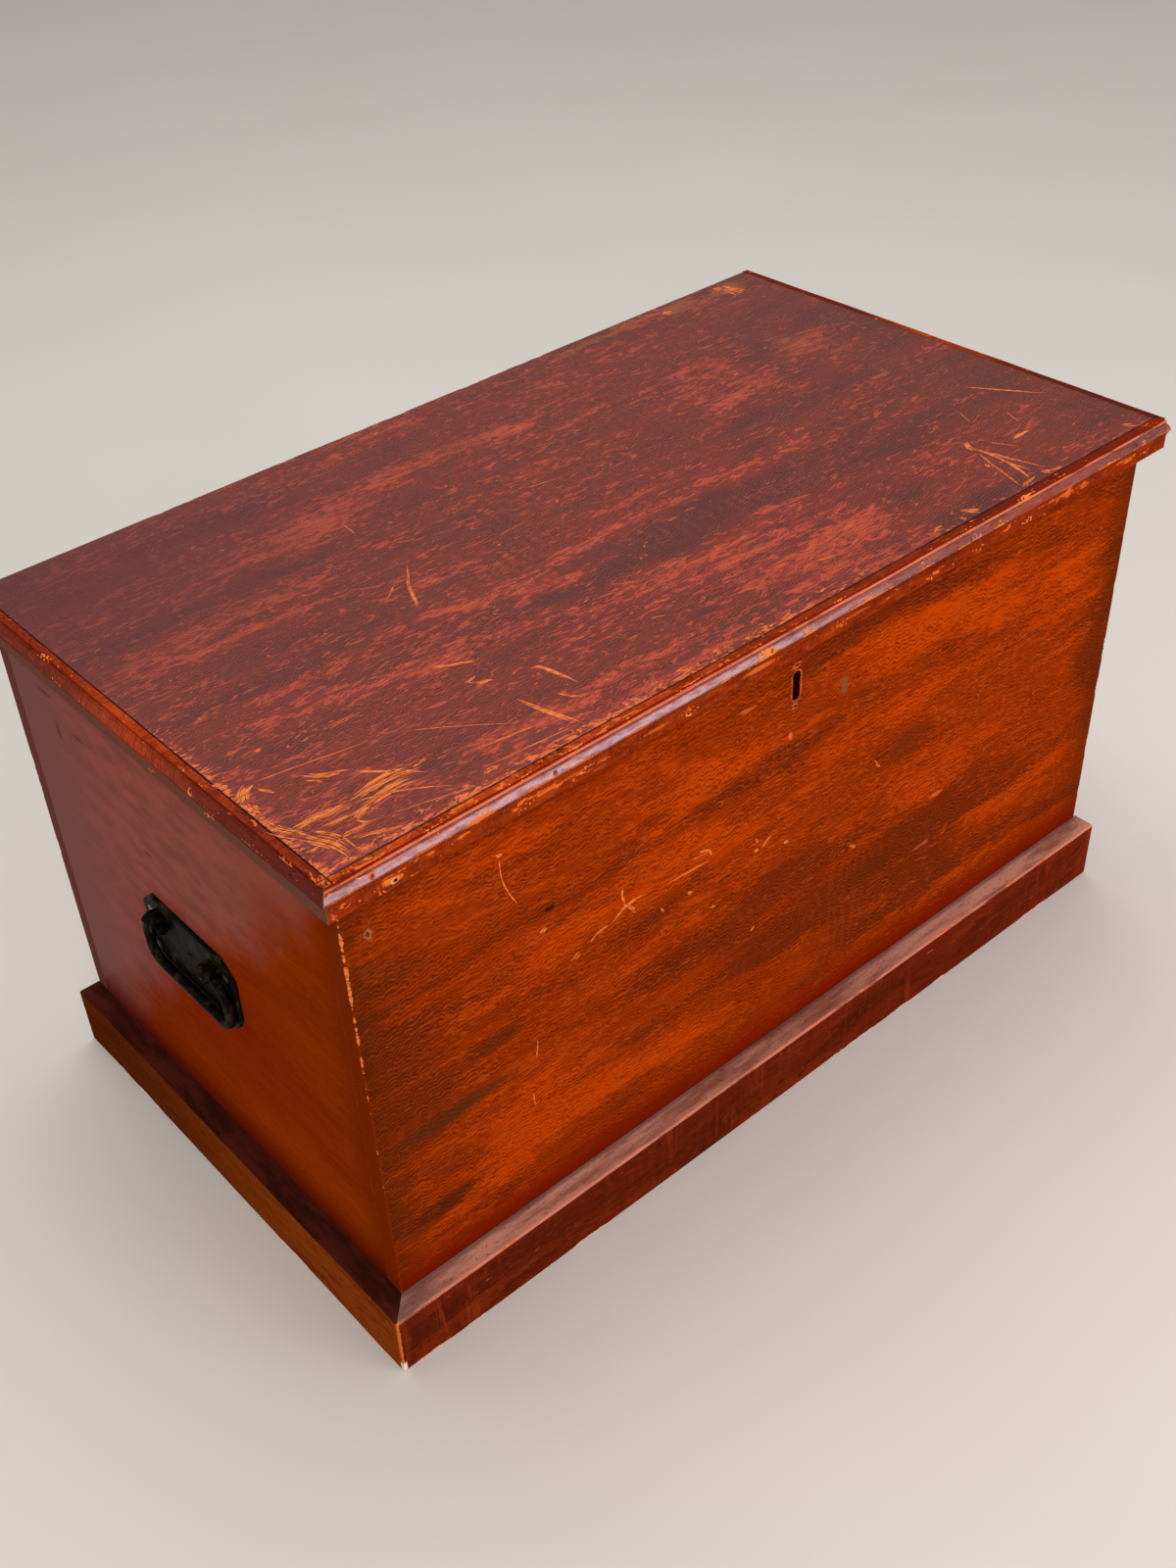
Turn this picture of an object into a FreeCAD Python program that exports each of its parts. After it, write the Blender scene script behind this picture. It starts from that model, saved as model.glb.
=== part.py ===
import FreeCAD, Part
import math
import os
import Sketcher

# A pine chest with a hinged lid, in millimetres. X runs along the length, Y from the front to the back,
# Z up from the floor. The origin is on the floor, in the middle of the whole outline seen from above.

SIZES = {
    # carcass boards
    "body_length": 900.0,
    "body_depth": 510.0,
    "carcass_height": 506.0,
    "board_thickness": 18.0,
    # lid board and the moulding nailed round three of its edges
    "lid_thickness": 20.0,
    "lid_lap": 5.0,
    "moulding_width": 12.5,
    "moulding_height": 30.0,
    "moulding_top_width": 9.5,
    "moulding_foot_width": 10.0,
    "moulding_foot_height": 11.0,
    "moulding_nose_low": 18.0,
    "moulding_nose_high": 25.0,
    "moulding_nose_radius": 4.2,
    "moulding_cove_radius": 9.0,
    "moulding_step": 2.0,
    # plinth boards
    "plinth_height": 66.0,
    "plinth_thickness": 22.5,
    "plinth_end_lap": 2.0,
    # bottom
    "bottom_rise": 38.0,
    "plank_thickness": 15.0,
    "plank_gap": 0.8,
    "plank_count": 5.0,
    "cleat_height": 20.0,
    "cleat_width": 22.0,
    # nails
    "nail_radius": 1.3,
    "carcass_nail_length": 48.0,
    "carcass_nail_margin": 70.0,
    "plinth_nail_length": 34.0,
    "plinth_nail_margin": 60.0,
    "moulding_nail_length": 24.0,
    "moulding_nail_rise": 21.0,
    "bottom_nail_length": 30.0,
    # keyhole in the front board
    "keyhole_drop": 39.0,
    "keyhole_height": 26.0,
    "keyhole_head_radius": 4.4,
    "keyhole_slot_width": 6.2,
    "pin_hole_radius": 1.1,
    "pin_hole_depth": 5.0,
    "pin_hole_gap": 7.0,
    # drop handles
    "handle_base_height": 243.0,
    "plate_width": 145.0,
    "plate_height": 67.0,
    "plate_thickness": 3.5,
    "plate_bevel": 1.6,
    "plate_screw_inset": 13.0,
    "boss_radius": 4.5,
    "boss_rise": 1.8,
    "boss_height": 33.0,
    "pivot_rise": 44.0,
    "cheek_radius": 7.8,
    "cheek_width": 5.5,
    "hood_radius": 10.2,
    "hood_bore": 7.0,
    "hood_inner_length": 6.0,
    "hood_outer_length": 12.0,
    "hood_screw_gap": 3.3,
    "hood_stop_gap": 0.5,
    "bail_wire_radius": 4.5,
    "bail_pin_radius": 3.2,
    "bail_knob_radius": 4.8,
    "bail_knob_length": 5.0,
    "bail_knob_dome": 1.8,
    "bail_shoulder": 0.75,
    "bail_elbow_radius": 20.0,
    "bail_corner_radius": 16.0,
    "bail_side_length": 12.0,
    "bail_rest_gap": 0.5,
    "bail_side_gap": 0.5,
    "bail_running_gap": 0.06,
    # handle screws
    "handle_screw_radius": 2.1,
    "handle_screw_head": 4.2,
    "handle_screw_sink": 2.4,
    "handle_screw_length": 17.0,
    "screw_slot_width": 0.9,
    "screw_slot_depth": 0.9,
    # butt hinges
    "hinge_inset": 122.0,
    "leaf_length": 76.0,
    "leaf_width": 17.0,
    "leaf_thickness": 2.0,
    "knuckle_radius": 3.5,
    "knuckle_gap": 0.5,
    "knuckle_count": 5.0,
    "knuckle_end_gap": 0.3,
    "hinge_pin_radius": 1.75,
    "hinge_running_gap": 0.05,
    "hinge_screw_radius": 1.7,
    "hinge_screw_head": 3.4,
    "hinge_screw_sink": 1.6,
    "hinge_screw_length": 16.0,
    "hinge_screw_pitch": 26.0,
    "hinge_screw_margin": 8.0,
    # box lock let into the inside of the front board
    "lock_plate_width": 84.0,
    "lock_plate_height": 76.0,
    "lock_plate_thickness": 2.0,
    "selvedge_margin": 2.5,
    "case_width": 62.0,
    "case_height": 64.0,
    "case_depth": 10.0,
    "case_wall": 1.5,
    "mortise_gap": 0.5,
    "case_keyhole_gap": 0.4,
    "key_pin_radius": 1.5,
    "key_pin_length": 8.0,
    "bolt_length": 34.0,
    "bolt_height": 10.0,
    "bolt_thickness": 5.0,
    "bolt_tail": 28.0,
    "bolt_drop": 10.0,
    "bolt_gap": 0.3,
    "nose_length": 8.0,
    "nose_height": 5.0,
    "nose_thickness": 3.0,
    "nose_drop": 3.0,
    "talon_length": 6.0,
    "talon_height": 8.0,
    "talon_start": 16.0,
    "stud_radius": 2.0,
    "stud_length": 6.0,
    "stud_gap": 0.2,
    "spring_length": 18.0,
    "spring_strip": 0.8,
    "lock_screw_radius": 1.6,
    "lock_screw_head": 3.3,
    "lock_screw_sink": 1.7,
    "lock_screw_length": 12.0,
    "lock_screw_side": 5.0,
    "lock_screw_end": 8.0,
    # link plate under the lid
    "staple_start": 16.0,
    "staple_thickness": 3.0,
    "staple_wall": 1.2,
    "staple_hole_width": 4.6,
    "staple_hole_height": 8.0,
    "staple_foot": 1.5,
    "staple_slot_front_gap": 1.1,
    "staple_slot_gap": 0.3,
    "staple_slot_side_gap": 1.0,
    "link_length": 52.0,
    "link_width": 14.0,
    "link_thickness": 2.0,
    "link_screw_pitch": 38.0,
    # how far a cutting tool runs past the face that it cuts
    "overrun": 5.0,
}

DATUMS = {
    "pivot_reach": "chest.plate_thickness + chest.bail_wire_radius + chest.bail_rest_gap",
    "handle_reach": "datum.pivot_reach + chest.hood_radius * sqrt(1 - (datum.hood_share)^2)",
    "hood_share": "(chest.bail_wire_radius + chest.hood_stop_gap) / chest.hood_radius",
    "right_reach": "max(chest.lid_lap + chest.moulding_width; datum.handle_reach)",
    "whole_length": "chest.plinth_thickness + chest.body_length + datum.right_reach",
    "hinge_reach": "chest.knuckle_gap + 2 * chest.knuckle_radius",
    "whole_depth": "chest.plinth_thickness + chest.body_depth + datum.hinge_reach",
    "x_left": "chest.plinth_thickness - datum.whole_length / 2",
    "x_right": "datum.x_left + chest.body_length",
    "x_mid": "datum.x_left + chest.body_length / 2",
    "y_front": "chest.plinth_thickness - datum.whole_depth / 2",
    "y_back": "datum.y_front + chest.body_depth",
    "y_mid": "datum.y_front + chest.body_depth / 2",
    "x_in_left": "datum.x_left + chest.board_thickness",
    "x_in_right": "datum.x_right - chest.board_thickness",
    "y_in_front": "datum.y_front + chest.board_thickness",
    "y_in_back": "datum.y_back - chest.board_thickness",
    "inner_length": "chest.body_length - 2 * chest.board_thickness",
    "inner_depth": "chest.body_depth - 2 * chest.board_thickness",
    "z_lid": "chest.carcass_height",
    "z_top": "chest.carcass_height + chest.lid_thickness",
    "z_moulding": "datum.z_top - chest.moulding_height",
    "y_hinge": "datum.y_back + chest.knuckle_gap + chest.knuckle_radius",
    "z_pivot": "chest.handle_base_height + chest.pivot_rise",
    "hood_end": "chest.plate_width / 2 - chest.plate_screw_inset - chest.handle_screw_head - chest.hood_screw_gap",
    "lug_offset": "datum.hood_end - chest.hood_outer_length",
    "bail_start": "datum.lug_offset + chest.cheek_width / 2 + chest.bail_side_gap",
    "bail_half": "datum.bail_start + chest.bail_shoulder + chest.bail_elbow_radius",
    "bail_drop": "chest.bail_elbow_radius + chest.bail_side_length + chest.bail_corner_radius",
    "z_keyhole_top": "datum.z_lid - chest.keyhole_drop",
    "z_keyhole_low": "datum.z_keyhole_top - chest.keyhole_height",
    "z_keyhole_head": "datum.z_keyhole_top - chest.keyhole_head_radius",
    "y_lock": "datum.y_in_front - chest.lock_plate_thickness",
    "y_case": "datum.y_lock - chest.case_depth",
    "z_case": "datum.z_lid - chest.lock_plate_thickness",
    "z_bolt": "datum.z_lid - chest.bolt_drop - chest.bolt_height",
    "y_bolt": "datum.y_lock - chest.bolt_gap - chest.bolt_thickness",
    "x_staple": "datum.x_mid + chest.staple_start",
    "y_staple": "datum.y_bolt + chest.nose_thickness / 2",
    "staple_width": "chest.staple_hole_width + 2 * chest.staple_wall",
    "z_nose": "datum.z_lid - chest.bolt_drop - chest.nose_drop - chest.nose_height",
    "z_staple_hole": "datum.z_nose - (chest.staple_hole_height - chest.nose_height) / 2",
}

# Shares of the plate's width and height, for one half of its outline: the lower ear, the side, the cut corner.
EAR_SHARES = [(0.16, 0.21), (0.135, 0.10), (0.095, 0.0), (0.04, 0.0), (0.01, 0.09), (0.0, 0.78), (0.12, 1.0)]
UPPER_SCREW_HEIGHT_SHARE = 0.72
LOWER_SCREW_HEIGHT_SHARE = 0.10

# Shares of the chest's length and depth at which the mouldings are nailed.
FRONT_NAIL_SHARES = (0.037, 0.211, 0.449, 0.71, 0.963)
SIDE_NAIL_SHARES = (0.065, 0.31, 0.577, 0.93)

TURNS = {
    "up": FreeCAD.Rotation(),
    "down": FreeCAD.Rotation(FreeCAD.Vector(1, 0, 0), 180),
    "right": FreeCAD.Rotation(FreeCAD.Vector(0, 1, 0), 90),
    "left": FreeCAD.Rotation(FreeCAD.Vector(0, 1, 0), -90),
    "back": FreeCAD.Rotation(FreeCAD.Vector(1, 0, 0), -90),
    "front": FreeCAD.Rotation(FreeCAD.Vector(1, 0, 0), 90),
}

doc = FreeCAD.newDocument("painted_chest")
nodes = {}


def fill_sheet(name, rows):
    """A sheet with one row for each name: its label, its cell and the cell's alias."""
    sheet = doc.addObject("Spreadsheet::Sheet", name)
    for number, (alias, text) in enumerate(rows.items(), start=1):
        sheet.set("A%d" % number, alias)
        sheet.setAlias("B%d" % number, alias)
        sheet.set("B%d" % number, text)
    doc.recompute()
    return sheet


sizes = fill_sheet("chest", {alias: str(size) for alias, size in SIZES.items()})
datums = fill_sheet("datum", {alias: "=" + formula for alias, formula in DATUMS.items()})


def value(text):
    """The number that an expression over the two sheets gives now."""
    return float(sizes.evalExpression(text))


def bind(item, properties):
    """Tie properties of an object to expressions."""
    for path, text in properties.items():
        item.setExpression(path, text)
    return item


def place(item, x, y, z, turn="up"):
    """Put an object's own origin at a point given by expressions, turned to point one way."""
    item.Placement = FreeCAD.Placement(FreeCAD.Vector(), TURNS[turn])
    return bind(item, {"Placement.Base.x": x, "Placement.Base.y": y, "Placement.Base.z": z})


def box(name, length, width, height, x, y, z):
    item = bind(doc.addObject("Part::Box", name), {"Length": length, "Width": width, "Height": height})
    return place(item, x, y, z)


def rod(name, radius, length, x, y, z, turn):
    item = bind(doc.addObject("Part::Cylinder", name), {"Radius": radius, "Height": length})
    return place(item, x, y, z, turn)


def cone(name, radius, end_radius, length, x, y, z, turn):
    item = doc.addObject("Part::Cone", name)
    bind(item, {"Radius1": radius, "Radius2": end_radius, "Height": length})
    return place(item, x, y, z, turn)


def join(name, parts):
    item = doc.addObject("Part::MultiFuse", name)
    item.Shapes = parts
    item.Refine = True
    return item


def group(name, parts):
    item = doc.addObject("Part::Compound", name)
    item.Links = parts
    return item


def cut(name, base, tools):
    item = doc.addObject("Part::Cut", name)
    item.Base = base
    item.Tool = tools[0] if len(tools) == 1 else group(name + "_tools", tools)
    return item


def keep(name, item):
    """Mark an object as one of the chest's pieces."""
    item.Label = name
    nodes[name] = item
    return item


def sketch_on(body, name, role, offset):
    """A sketch on one of the body's origin planes, moved by expressions."""
    plane = [feature for feature in body.Origin.OriginFeatures if feature.Role == role][0]
    sketch = body.newObject("Sketcher::SketchObject", name)
    sketch.AttachmentSupport = [(plane, "")]
    sketch.MapMode = "FlatFace"
    return bind(sketch, {"AttachmentOffset.Base." + axis: text for axis, text in zip("xyz", offset)})


def segment(start, end, radius, side):
    """A straight line, or an anticlockwise arc of the given radius that bulges to one side of it."""
    if radius is None:
        return Part.LineSegment(start, end)
    chord = end - start
    across = FreeCAD.Vector(-chord.y, chord.x, 0) / chord.Length
    sagitta = radius - math.sqrt(radius ** 2 - (chord.Length / 2) ** 2)
    crown = (start + end) / 2 + across * sagitta * side
    return Part.Arc(start, crown, end) if side < 0 else Part.Arc(end, crown, start)


def arc_centre(start, end, radius, side):
    """The X of the centre of such an arc, as an expression."""
    across = "((%s) - (%s))" % (end[0], start[0])
    up = "((%s) - (%s))" % (end[1], start[1])
    stretch = "sqrt((%s)^2 / (%s^2 + %s^2) - 1 / 4)" % (radius, across, up)
    return "((%s) + (%s)) / 2 %s %s * %s" % (start[0], end[0], "+" if side > 0 else "-", up, stretch)


def draw(sketch, corners, arcs, closed=True):
    """Lines and arcs from corner to corner; arcs maps a corner's number to its radius and side."""
    points = [FreeCAD.Vector(value(x), value(y), 0) for x, y in corners]
    count = len(points) if closed else len(points) - 1
    first = sketch.GeometryCount
    ends = []
    for number in range(count):
        start, end = points[number], points[(number + 1) % len(points)]
        radius, side = arcs.get(number, (None, 0))
        line = segment(start, end, value(radius) if radius else None, side)
        index = sketch.addGeometry(line)
        forward = (sketch.Geometry[index].StartPoint - start).Length < (sketch.Geometry[index].EndPoint - start).Length
        ends.append((1, 2) if forward else (2, 1))
        if radius:
            middle = arc_centre(corners[number], corners[(number + 1) % len(corners)], radius, side)
            tie(sketch, Sketcher.Constraint("DistanceX", -1, 1, index, 3, value(middle)), middle)
    for number in range(count if closed else count - 1):
        after = (number + 1) % count
        pair = (first + number, ends[number][1], first + after, ends[after][0])
        sketch.addConstraint(Sketcher.Constraint("Coincident", *pair))
    for number, (x, y) in enumerate(corners):
        last = number == count
        spot = (first + count - 1, ends[-1][1]) if last else (first + number, ends[number][0])
        tie(sketch, Sketcher.Constraint("DistanceX", -1, 1, *spot, value(x)), x)
        tie(sketch, Sketcher.Constraint("DistanceY", -1, 1, *spot, value(y)), y)
    return sketch


def tie(sketch, constraint, text):
    """Add a constraint whose size follows an expression."""
    index = sketch.addConstraint(constraint)
    sketch.setExpression("Constraints[%d]" % index, text)


def slab(name, role, offset, depth, corners, arcs=None, backwards=False):
    """A body with one outline, padded from its plane."""
    body = doc.addObject("PartDesign::Body", name)
    sketch = draw(sketch_on(body, name + "_outline", role, offset), corners, arcs or {})
    pad = body.newObject("PartDesign::Pad", name + "_pad")
    pad.Profile = sketch
    pad.Reversed = backwards
    pad.setExpression("Length", depth)
    return body


def pocket(body, name, role, offset, outlines):
    """Cut outlines through the whole body, against the normal of their plane."""
    sketch = sketch_on(body, name + "_outline", role, offset)
    for corners in outlines:
        draw(sketch, corners, {})
    doc.recompute()
    hole = body.newObject("PartDesign::Pocket", name)
    hole.Profile = sketch
    hole.Type = "ThroughAll"
    return body


def nail_row(name, length, places, turn):
    """Plain round nails, their heads flush with the face they were driven through."""
    nails = []
    for number, (x, y, z) in enumerate(places, start=1):
        nails.append(rod("%s_%d" % (name, number), "chest.nail_radius", length, x, y, z, turn))
    return nails


def screw_set(name, kind, places, turn, slot_along):
    """Countersunk slotted screws. Returns their bodies, to cut the holes with, and the slotted set."""
    screws = []
    slots = []
    for number, (x, y, z) in enumerate(places, start=1):
        label = "%s_%d" % (name, number)
        head = cone(label + "_head", "chest.%s_screw_head" % kind, "chest.%s_screw_radius" % kind,
                    "chest.%s_screw_sink" % kind, x, y, z, turn)
        shank = rod(label + "_shank", "chest.%s_screw_radius" % kind, "chest.%s_screw_length" % kind,
                    x, y, z, turn)
        screws.append(join(label, [head, shank]))
        slots.append(screw_slot(label, kind, x, y, z, turn, slot_along))
    solid = group(name + "_solid", screws)
    keep(name, cut(name + "_slotted", solid, slots))
    return solid


def screw_slot(label, kind, x, y, z, turn, along):
    """The slot in a screw's head, as a box that straddles the face of the head."""
    long = "2 * chest.%s_screw_head" % kind
    size = {"x": "chest.screw_slot_width", "y": "chest.screw_slot_width", "z": "chest.screw_slot_width"}
    deep = {"up": "z", "down": "z", "left": "x", "right": "x", "front": "y", "back": "y"}[turn]
    size[along] = long
    size[deep] = "2 * chest.screw_slot_depth"
    spot = {"x": x, "y": y, "z": z}
    low = {axis: "%s - (%s) / 2" % (spot[axis], size[axis]) for axis in "xyz"}
    return box(label + "_slot", size["x"], size["y"], size["z"], low["x"], low["y"], low["z"])


def spread(start, end, margin, number, count):
    """The place of one of a row of evenly spaced fixings between two ends."""
    share = number / (count - 1)
    return "(%s) + %s + ((%s) - (%s) - 2 * %s) * %r" % (start, margin, end, start, margin, share)


# Bottom: cleats along the front and the back, and planks across them.

cleat_low = "chest.bottom_rise - chest.cleat_height"
front_cleat_block = box("front_cleat_block", "datum.inner_length", "chest.cleat_width", "chest.cleat_height",
                        "datum.x_in_left", "datum.y_in_front", cleat_low)
back_cleat_block = box("back_cleat_block", "datum.inner_length", "chest.cleat_width", "chest.cleat_height",
                       "datum.x_in_left", "datum.y_in_back - chest.cleat_width", cleat_low)

plank_total = int(SIZES["plank_count"])
plank_width = "(datum.inner_length - (chest.plank_count - 1) * chest.plank_gap) / chest.plank_count"
plank_top = "chest.bottom_rise + chest.plank_thickness"
bottom_nails = []
for number in range(plank_total):
    plank_x = "datum.x_in_left + %d * ((%s) + chest.plank_gap)" % (number, plank_width)
    plank = box("plank_block_%d" % (number + 1), plank_width, "datum.inner_depth", "chest.plank_thickness",
                plank_x, "datum.y_in_front", "chest.bottom_rise")
    nail_x = "%s + (%s) / 2" % (plank_x, plank_width)
    rows = ("datum.y_in_front + chest.cleat_width / 2", "datum.y_in_back - chest.cleat_width / 2")
    pair = nail_row("bottom_nail_%d" % (number + 1), "chest.bottom_nail_length",
                    [(nail_x, row, plank_top) for row in rows], "down")
    keep("bottom_plank_%d" % (number + 1), cut("plank_%d" % (number + 1), plank, pair))
    bottom_nails += pair
keep("bottom_nails", group("bottom_nail_group", bottom_nails))
keep("front_cleat", cut("front_cleat_cut", front_cleat_block, bottom_nails[0::2]))
keep("back_cleat", cut("back_cleat_cut", back_cleat_block, bottom_nails[1::2]))

# Plinth: the front board is mitred into the left one and stops at the right end of the carcass.

plinth_front_block = slab(
    "plinth_front_block", "XY_Plane",
    ("datum.x_left - chest.plinth_thickness", "datum.y_front - chest.plinth_thickness", "0"),
    "chest.plinth_height",
    [("0", "0"),
     ("chest.plinth_thickness + chest.body_length + chest.plinth_end_lap", "0"),
     ("chest.plinth_thickness + chest.body_length + chest.plinth_end_lap", "chest.plinth_thickness"),
     ("chest.plinth_thickness", "chest.plinth_thickness")])
plinth_left_block = slab(
    "plinth_left_block", "XY_Plane",
    ("datum.x_left - chest.plinth_thickness", "datum.y_front - chest.plinth_thickness", "0"),
    "chest.plinth_height",
    [("0", "0"),
     ("chest.plinth_thickness", "chest.plinth_thickness"),
     ("chest.plinth_thickness", "chest.plinth_thickness + chest.body_depth"),
     ("0", "chest.plinth_thickness + chest.body_depth")])

PLINTH_FRONT_NAILS = 6
PLINTH_LEFT_NAILS = 4
plinth_front_nails = nail_row("plinth_front_nail", "chest.plinth_nail_length", [
    (spread("datum.x_left", "datum.x_right", "chest.plinth_nail_margin", number, PLINTH_FRONT_NAILS),
     "datum.y_front - chest.plinth_thickness", "chest.plinth_height / 2")
    for number in range(PLINTH_FRONT_NAILS)], "back")
plinth_left_nails = nail_row("plinth_left_nail", "chest.plinth_nail_length", [
    ("datum.x_left - chest.plinth_thickness",
     spread("datum.y_front", "datum.y_back", "chest.plinth_nail_margin", number, PLINTH_LEFT_NAILS),
     "chest.plinth_height / 2")
    for number in range(PLINTH_LEFT_NAILS)], "right")
keep("plinth_front", cut("plinth_front_cut", plinth_front_block, plinth_front_nails))
keep("plinth_left", cut("plinth_left_cut", plinth_left_block, plinth_left_nails))
keep("plinth_nails", group("plinth_nail_group", plinth_front_nails + plinth_left_nails))

# Nails through the front and back boards into the ends of the chest.

CORNER_NAILS = 5
corner_columns = ("datum.x_left + chest.board_thickness / 2", "datum.x_right - chest.board_thickness / 2")


def corner_nails(side, y, turn):
    """A column of nails at each end of the front or the back board."""
    columns = []
    for number, x in enumerate(corner_columns, start=1):
        places = [(x, y, spread("0", "chest.carcass_height", "chest.carcass_nail_margin", row, CORNER_NAILS))
                  for row in range(CORNER_NAILS)]
        columns.append(nail_row("%s_nail_%d" % (side, number), "chest.carcass_nail_length", places, turn))
    keep(side + "_nails", group(side + "_nail_group", columns[0] + columns[1]))
    return columns


front_nail_columns = corner_nails("front", "datum.y_front", "back")
back_nail_columns = corner_nails("back", "datum.y_back", "front")

# Drop handles: a cast plate with two pierced lugs and their stops, and a bail that hangs in the lugs.


def outward(side, reach):
    """The place of a point that stands off an end board by some reach."""
    return "datum.x_left - (%s)" % reach if side == "left" else "datum.x_right + (%s)" % reach


def slab_low(side, reach):
    """The lower X of a block that stands off an end board by some reach."""
    return outward(side, reach) if side == "left" else "datum.x_right"


def plate_corners():
    half = [("%r * chest.plate_width" % across, "%r * chest.plate_height" % up) for across, up in EAR_SHARES]
    other = [("%r * chest.plate_width" % (1 - across), "%r * chest.plate_height" % up)
             for across, up in reversed(EAR_SHARES)]
    return half + other


def edge_chamfer(body, name, x, size):
    """Bevel the rim of the plate: every edge that lies wholly in its outer face."""
    doc.recompute()
    pad = body.Tip
    far = value(x)
    rim = []
    for number, edge in enumerate(pad.Shape.Edges, start=1):
        if all(abs(vertex.Point.x - far) < value("chest.plate_thickness") / 100 for vertex in edge.Vertexes):
            rim.append("Edge%d" % number)
    chamfer = body.newObject("PartDesign::Chamfer", name)
    chamfer.Base = (pad, rim)
    chamfer.setExpression("Size", size)
    return body


def lug(side, end, sign):
    """One cast lug: a cheek with the bore, under a hood that also stops the lifted bail."""
    label = "%s_lug_%s" % (side, end)
    middle = "datum.y_mid %s datum.lug_offset" % sign
    cheek_y = "%s - chest.cheek_width / 2" % middle
    cheek = rod(label + "_cheek", "chest.cheek_radius", "chest.cheek_width", outward(side, "datum.pivot_reach"),
                cheek_y, "datum.z_pivot", "back")
    web = box(label + "_web", "datum.pivot_reach", "chest.cheek_width", "2 * chest.cheek_radius",
              slab_low(side, "datum.pivot_reach"), cheek_y, "datum.z_pivot - chest.cheek_radius")
    length = "chest.hood_inner_length + chest.hood_outer_length"
    hood_y = "%s - chest.hood_%s_length" % (middle, "outer" if sign == "-" else "inner")
    arch = rod(label + "_arch", "chest.hood_radius", length, outward(side, "datum.pivot_reach"), hood_y,
               "datum.z_pivot", "back")
    bore = rod(label + "_hood_bore", "chest.hood_bore", length, outward(side, "datum.pivot_reach"), hood_y,
               "datum.z_pivot", "back")
    below = box(label + "_below", "2 * chest.hood_radius", length,
                "chest.hood_radius + chest.bail_wire_radius + chest.hood_stop_gap",
                "%s - chest.hood_radius" % outward(side, "datum.pivot_reach"), hood_y,
                "datum.z_pivot - chest.hood_radius")
    inside = box(label + "_inside", "chest.hood_radius", length, "2 * chest.hood_radius",
                 "datum.x_left" if side == "left" else "datum.x_right - chest.hood_radius", hood_y,
                 "datum.z_pivot - chest.hood_radius")
    hood = cut(label + "_hood", arch, [join(label + "_hood_space", [bore, below, inside])])
    return [cheek, web, hood]


def bail_end(side, sign):
    """A bail's turned-in end: the pin through the cheek, upset to a domed knob on the inner side."""
    label = "%s_bail_end_%s" % (side, "front" if sign == "-" else "back")
    x = outward(side, "datum.pivot_reach")
    turn, back = ("back", "front") if sign == "-" else ("front", "back")
    root = "datum.y_mid %s (datum.bail_start + chest.bail_wire_radius)" % sign
    face = "datum.y_mid %s (datum.bail_start - chest.cheek_width - 2 * chest.bail_side_gap)" % sign
    shoulder = "%s %s chest.bail_knob_length" % (face, "+" if sign == "-" else "-")
    pin = rod(label + "_pin", "chest.bail_pin_radius",
              "chest.bail_wire_radius + chest.cheek_width + 2 * chest.bail_side_gap + chest.bail_knob_length",
              x, root, "datum.z_pivot", turn)
    knob = rod(label + "_knob", "chest.bail_knob_radius", "chest.bail_knob_length", x, face, "datum.z_pivot", turn)
    dome = cone(label + "_dome", "chest.bail_knob_radius", "chest.bail_knob_radius - chest.bail_knob_dome",
                "chest.bail_knob_dome", x, shoulder, "datum.z_pivot", turn)
    return [pin, knob, dome]


def bail(side):
    """A bent bar with a straight grip, its two thinner ends turned in through the lugs."""
    body = doc.addObject("PartDesign::Body", side + "_bail_bar")
    whole = "2 * datum.bail_half"
    corners = [
        ("datum.bail_half - datum.bail_start", "datum.bail_drop"),
        ("chest.bail_elbow_radius", "datum.bail_drop"),
        ("0", "datum.bail_drop - chest.bail_elbow_radius"),
        ("0", "chest.bail_corner_radius"),
        ("chest.bail_corner_radius", "0"),
        (whole + " - chest.bail_corner_radius", "0"),
        (whole, "chest.bail_corner_radius"),
        (whole, "datum.bail_drop - chest.bail_elbow_radius"),
        (whole + " - chest.bail_elbow_radius", "datum.bail_drop"),
        ("datum.bail_half + datum.bail_start", "datum.bail_drop"),
    ]
    arcs = {1: ("chest.bail_elbow_radius", -1), 3: ("chest.bail_corner_radius", -1),
            5: ("chest.bail_corner_radius", -1), 7: ("chest.bail_elbow_radius", -1)}
    x = outward(side, "datum.pivot_reach")
    spine = draw(sketch_on(body, side + "_bail_path", "YZ_Plane",
                           ("datum.y_mid - datum.bail_half", "datum.z_pivot - datum.bail_drop", x)),
                 corners, arcs, closed=False)
    section = sketch_on(body, side + "_bail_section", "XZ_Plane",
                        (x, "datum.z_pivot", "datum.bail_start - datum.y_mid"))
    ring = section.addGeometry(Part.Circle(FreeCAD.Vector(), FreeCAD.Vector(0, 0, 1),
                                           value("chest.bail_wire_radius")))
    section.addConstraint(Sketcher.Constraint("Coincident", ring, 3, -1, 1))
    tie(section, Sketcher.Constraint("Radius", ring, value("chest.bail_wire_radius")), "chest.bail_wire_radius")
    doc.recompute()
    pipe = body.newObject("PartDesign::AdditivePipe", side + "_bail_pipe")
    pipe.Profile = section
    pipe.Spine = (spine, ["Edge%d" % number for number in range(1, spine.GeometryCount + 1)])
    keep(side + "_bail", join(side + "_bail_forging", [body] + bail_end(side, "-") + bail_end(side, "+")))


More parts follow.
